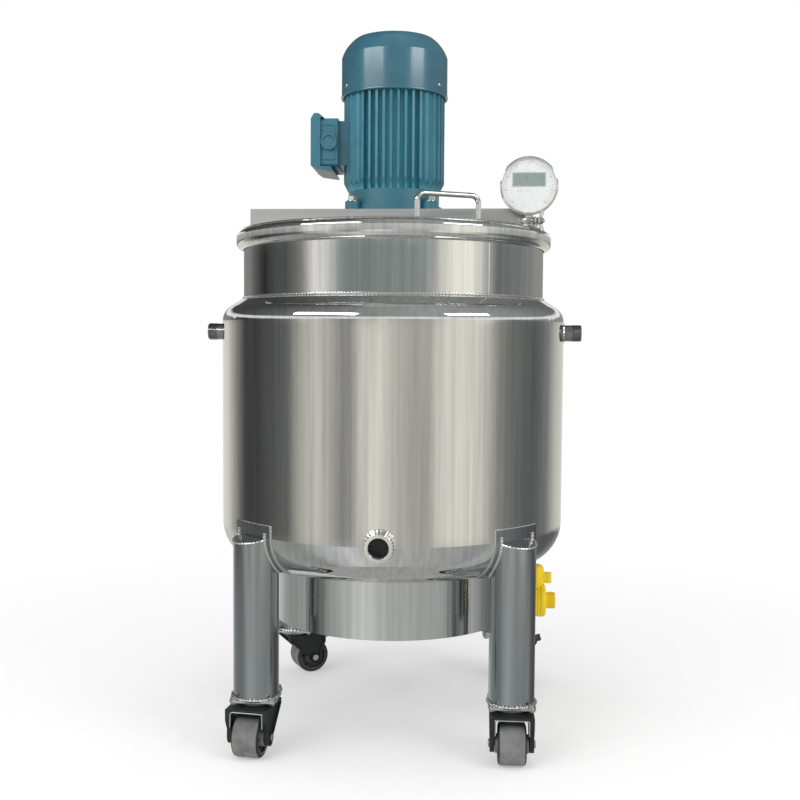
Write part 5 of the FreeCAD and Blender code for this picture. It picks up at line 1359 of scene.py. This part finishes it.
@dataclass
class Studio:
    """Camera, lamps, floor and the domed reflector wall that only glossy surfaces see.

    The wall's rows are its levels from the lowest up, each with its share of the wall's radius
    and its tone.
    """

    azimuth: float = 3.65
    distance: float = 1.8
    eye_level: float = 0.635
    lens: float = 47.73
    pitch: float = 3.2
    roll: float = 0.35
    shift: float = 0.0091
    lamp_distance: float = 3.0
    lamp_centre: float = 0.6
    lamps: tuple[Lamp, ...] = (
        Lamp("key_lamp", -46, 29, 2.2, 0.55, 34), Lamp("fill_lamp", 50, 28, 1.4, 0.5, 22),
        Lamp("top_lamp", 10, 80, 2.0, 2.0, 22, glossy=False),
    )
    world_level: float = 0.72
    mirrored_level: float = 0.42
    floor_radius: float = 9.0
    floor_tones: tuple[float, float] = (0.9, 0.93)
    fade_start: float = 0.3
    fade_end: float = 1.4
    fade_least: float = 0.35
    bands: tuple[Band, ...] = (
        Band(-180, 0.5, 0.8, 0.26), Band(-138, 0.7, 0.78, 0.26), Band(-121, 0.44, 0.3, 0.11),
        Band(-109, 0.38, 0.07, 0.03, -0.02, -0.03), Band(-95, 0.38, 0.07, 0.1, -0.02, -0.03),
        Band(-82, 0.38, 0.11, 0.11, -0.02, -0.03), Band(-68, 0.34, 0.17, 0.28, -0.02),
        Band(-59, 0.36, 0.52, 0.9), Band(-48, 0.52, 0.67, 0.78),
        Band(-39, 0.6, 0.56, 0.42, 0.05, -0.06), Band(-31, 0.7, 0.32, 0.29, 0, -0.06),
        Band(-26, 0.73, 0.36, 0.29, 0, -0.06), Band(-18, 0.66, 0.8, 0.3, 0.05, -0.06),
        Band(-9, 0.58, 0.86, 0.32, 0.05, -0.06), Band(2, 0.52, 0.62, 0.33, 0.05, -0.06),
        Band(10, 0.52, 0.52, 0.34, 0.05, -0.06), Band(22, 0.5, 0.49, 0.37, 0.05, -0.06),
        Band(28, 0.46, 0.8, 0.5), Band(41, 0.46, 0.93, 1.05, 0.05, 0.05),
        Band(54, 0.4, 0.81, 1.14, 0.05, 0.05), Band(60, 0.4, 0.66, 1.04, 0.05, 0.05),
        Band(68, 0.5, 0.34, 0.6), Band(80, 0.46, 0.2, 0.22, -0.02, -0.03),
        Band(100, 0.18, 0.13, 0.23, -0.02, -0.03), Band(118, 0.12, 0.24, 0.3, -0.02, -0.03),
        Band(136, 0.14, 0.64, 0.34), Band(180, 0.5, 0.8, 0.26),
    )
    wall_radius: float = 3.2
    wall_rows: tuple[tuple[float, float, Tone], ...] = (
        (1, -6.0, Tone.DEEP), (1, -0.38, Tone.DEEP), (1, -0.2, Tone.LOW), (1, 0.7, Tone.LOW),
        (1, 0.8, Tone.HIGH), (1, 1.06, Tone.HIGH), (1, 1.18, Tone.PALE), (1, 1.36, Tone.PALE),
        (1, 1.6, Tone.TOP), (1, 2.6, Tone.TOP), (0.7, 3.8, Tone.TOP), (0.3, 4.4, Tone.TOP),
    )
    overhead: float = 0.24
    overhead_swing: float = 0.17
    overhead_side: float = 35.0
    beam_tone: float = 0.95

    def camera(self) -> None:
        """Put the camera where the photograph was taken from."""
        data = bpy.data.cameras.new("studio_camera")
        data.lens, data.shift_x = self.lens, self.shift
        camera = add_object("studio_camera", data)
        place = radial(self.distance, math.radians(self.azimuth), self.eye_level)
        camera.matrix_world = (Matrix.Translation(place) @ turned(self.azimuth, "Z")
                               @ turned(90 - self.pitch, "X") @ turned(self.roll, "Z"))
        bpy.context.scene.camera = camera

    def light(self) -> None:
        """Hang the lamps round the tank."""
        for lamp in self.lamps:
            data = bpy.data.lights.new(lamp.name, "AREA")
            data.shape, data.energy = "RECTANGLE", lamp.power
            data.size, data.size_y = lamp.width, lamp.height
            hung = add_object(lamp.name, data)
            rise = math.radians(lamp.elevation)
            away = radial(math.cos(rise), math.radians(lamp.azimuth + self.azimuth), math.sin(rise))
            hung.matrix_world = facing(away * self.lamp_distance + UP * self.lamp_centre, away)
            hung.visible_camera = False
            hung.visible_glossy = lamp.glossy

    def world(self) -> None:
        """Light from all round, and show white behind the tank."""
        world = bpy.data.worlds.new("studio_world")
        world.use_nodes = True
        bpy.context.scene.world = world
        wiring = Wiring(world.node_tree)
        path = wiring.add("LightPath").outputs
        seen = wiring.maths("MAXIMUM", path["Is Camera Ray"], path["Is Transmission Ray"])
        level = wiring.span(path["Is Glossy Ray"], 0.0, 1.0, self.world_level, self.mirrored_level)
        wiring.feed(world.node_tree.nodes["Background"], {
            "Color": (1, 1, 1, 1), "Strength": wiring.maths("MAXIMUM", seen, level)})

    def tones(self, angle: float) -> dict[Tone, Colour]:
        """Return the wall's tones.

        Args:
            angle: degrees from the camera's side, counted to its right.

        Returns:
            Each tone's colour at that angle.
        """
        first, second = next(pair for pair in pairwise(self.bands) if angle <= pair[1].angle)
        share = (angle - first.angle) / (second.angle - first.angle)
        mixed = [tuple(a + (b - a) * share for a, b in zip(old, new))
                 for old, new in zip(first.tones(), second.tones())]
        swing = self.overhead_swing * math.cos(math.radians(angle - self.overhead_side))
        return dict(zip(Tone, (*mixed, grey(self.beam_tone), grey(self.overhead + swing, -0.04))))

    @staticmethod
    def backdrop(mesh: bmesh.types.BMesh, name: str, material: Material,
                 *hidden_from: str) -> None:
        """Make a piece of the studio, which isn't part of the tank.

        Args:
            mesh: its mesh, which is used up.
            name: its name.
            material: its material.
            hidden_from: the kinds of ray that pass through it.
        """
        data = bpy.data.meshes.new(name)
        mesh.to_mesh(data)
        mesh.free()
        material.cycles.emission_sampling = "NONE"
        data.materials.append(material)
        piece = add_object(name, data)
        for kind in hidden_from:
            setattr(piece, "visible_" + kind, False)

    def wall(self) -> None:
        """Stand the reflector wall round the studio, and close it with a dome."""
        mesh = bmesh.new()
        layer = mesh.verts.layers.float_color.new("Tone")
        columns = []
        for angle in range(-180, 181):
            tones = self.tones(angle)
            column = []
            for share, level, tone in self.wall_rows:
                turn = math.radians(angle + self.azimuth)
                vert = mesh.verts.new(radial(self.wall_radius * share, turn, level))
                vert[layer] = (*tones[tone], 1)
                column.append(vert)
            columns.append(column)
        for first, second in pairwise(columns):
            for (low, high), (low_next, high_next) in zip(pairwise(first), pairwise(second)):
                mesh.faces.new((low, low_next, high_next, high))
        material = bpy.data.materials.new("reflector_tones")
        material.use_nodes = True
        material.node_tree.nodes.clear()
        wiring = Wiring(material.node_tree)
        tone = wiring.add("VertexColor", layer_name="Tone").outputs["Color"]
        glow = wiring.add("Emission", {"Color": tone, "Strength": 1.0}).outputs[0]
        wiring.add("OutputMaterial", {"Surface": glow})
        self.backdrop(mesh, "reflector_wall", material, "camera", "diffuse", "shadow", "transmission")

    def floor(self) -> None:
        """Lay a pale floor that fades into the background far from the tank."""
        mesh = bmesh.new()
        bmesh.ops.create_circle(mesh, cap_ends=True, segments=96, radius=self.floor_radius)
        material = bpy.data.materials.new("pale_floor")
        material.use_nodes = True
        wiring = Wiring(material.node_tree)
        places = wiring.add("TexCoord").outputs["Object"]
        mottle = wiring.span(wiring.noise(places, 30.0, 5.0), 0.3, 0.7)
        dark, pale = [(tone, tone, tone) for tone in self.floor_tones]
        shader = wiring.feed(material.node_tree.nodes["Principled BSDF"], {
            "Roughness": 0.7, "Specular IOR Level": 0.2,
            "Base Color": wiring.blend(mottle, dark, pale)})
        fade = wiring.span(wiring.length(places), self.fade_start, self.fade_end, self.fade_least)
        seen = wiring.add("LightPath").outputs["Is Camera Ray"]
        white = wiring.add("Emission", {"Color": (1, 1, 1, 1), "Strength": 1.0}).outputs[0]
        mixed = wiring.add("MixShader", {0: wiring.maths("MULTIPLY", fade, seen),
                                         1: shader.outputs[0], 2: white}).outputs[0]
        wiring.feed(material.node_tree.nodes["Material Output"], {"Surface": mixed})
        self.backdrop(mesh, "studio_floor", material, "glossy")

    def build(self) -> None:
        """Set up the whole studio."""
        bpy.context.scene.view_settings.view_transform = "Standard"
        self.camera()
        self.world()
        self.wall()
        self.floor()
        self.light()


def dress_nodes() -> None:
    """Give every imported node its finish."""
    for finish, names in NODE_FINISHES.items():
        for name in names:
            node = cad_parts[name]
            if not node.material_slots:
                node.data.materials.append(None)
            for slot in node.material_slots:
                slot.material = finish.material()
            LOG.info("dressed %s in %s", name, finish.name)


def main() -> None:
    """Build the scene."""
    logging.basicConfig(level=logging.INFO, format="%(name)s: %(message)s")
    dress_nodes()
    vessel = Vessel()
    stand = Stand(vessel)
    casters = [Caster(name, stand.leg_axis(index), yaw)
               for index, (name, yaw) in enumerate(zip(CASTERS, (-98.0, -90.0, 30.0, 0.0)))]
    for assembly in (vessel, stand, *casters, Covers(), Motor(), Gauge(), Valve(), Studio()):
        assembly.build()
        LOG.info("finished %s", type(assembly).__name__)


if __name__ == "__main__":
    main()
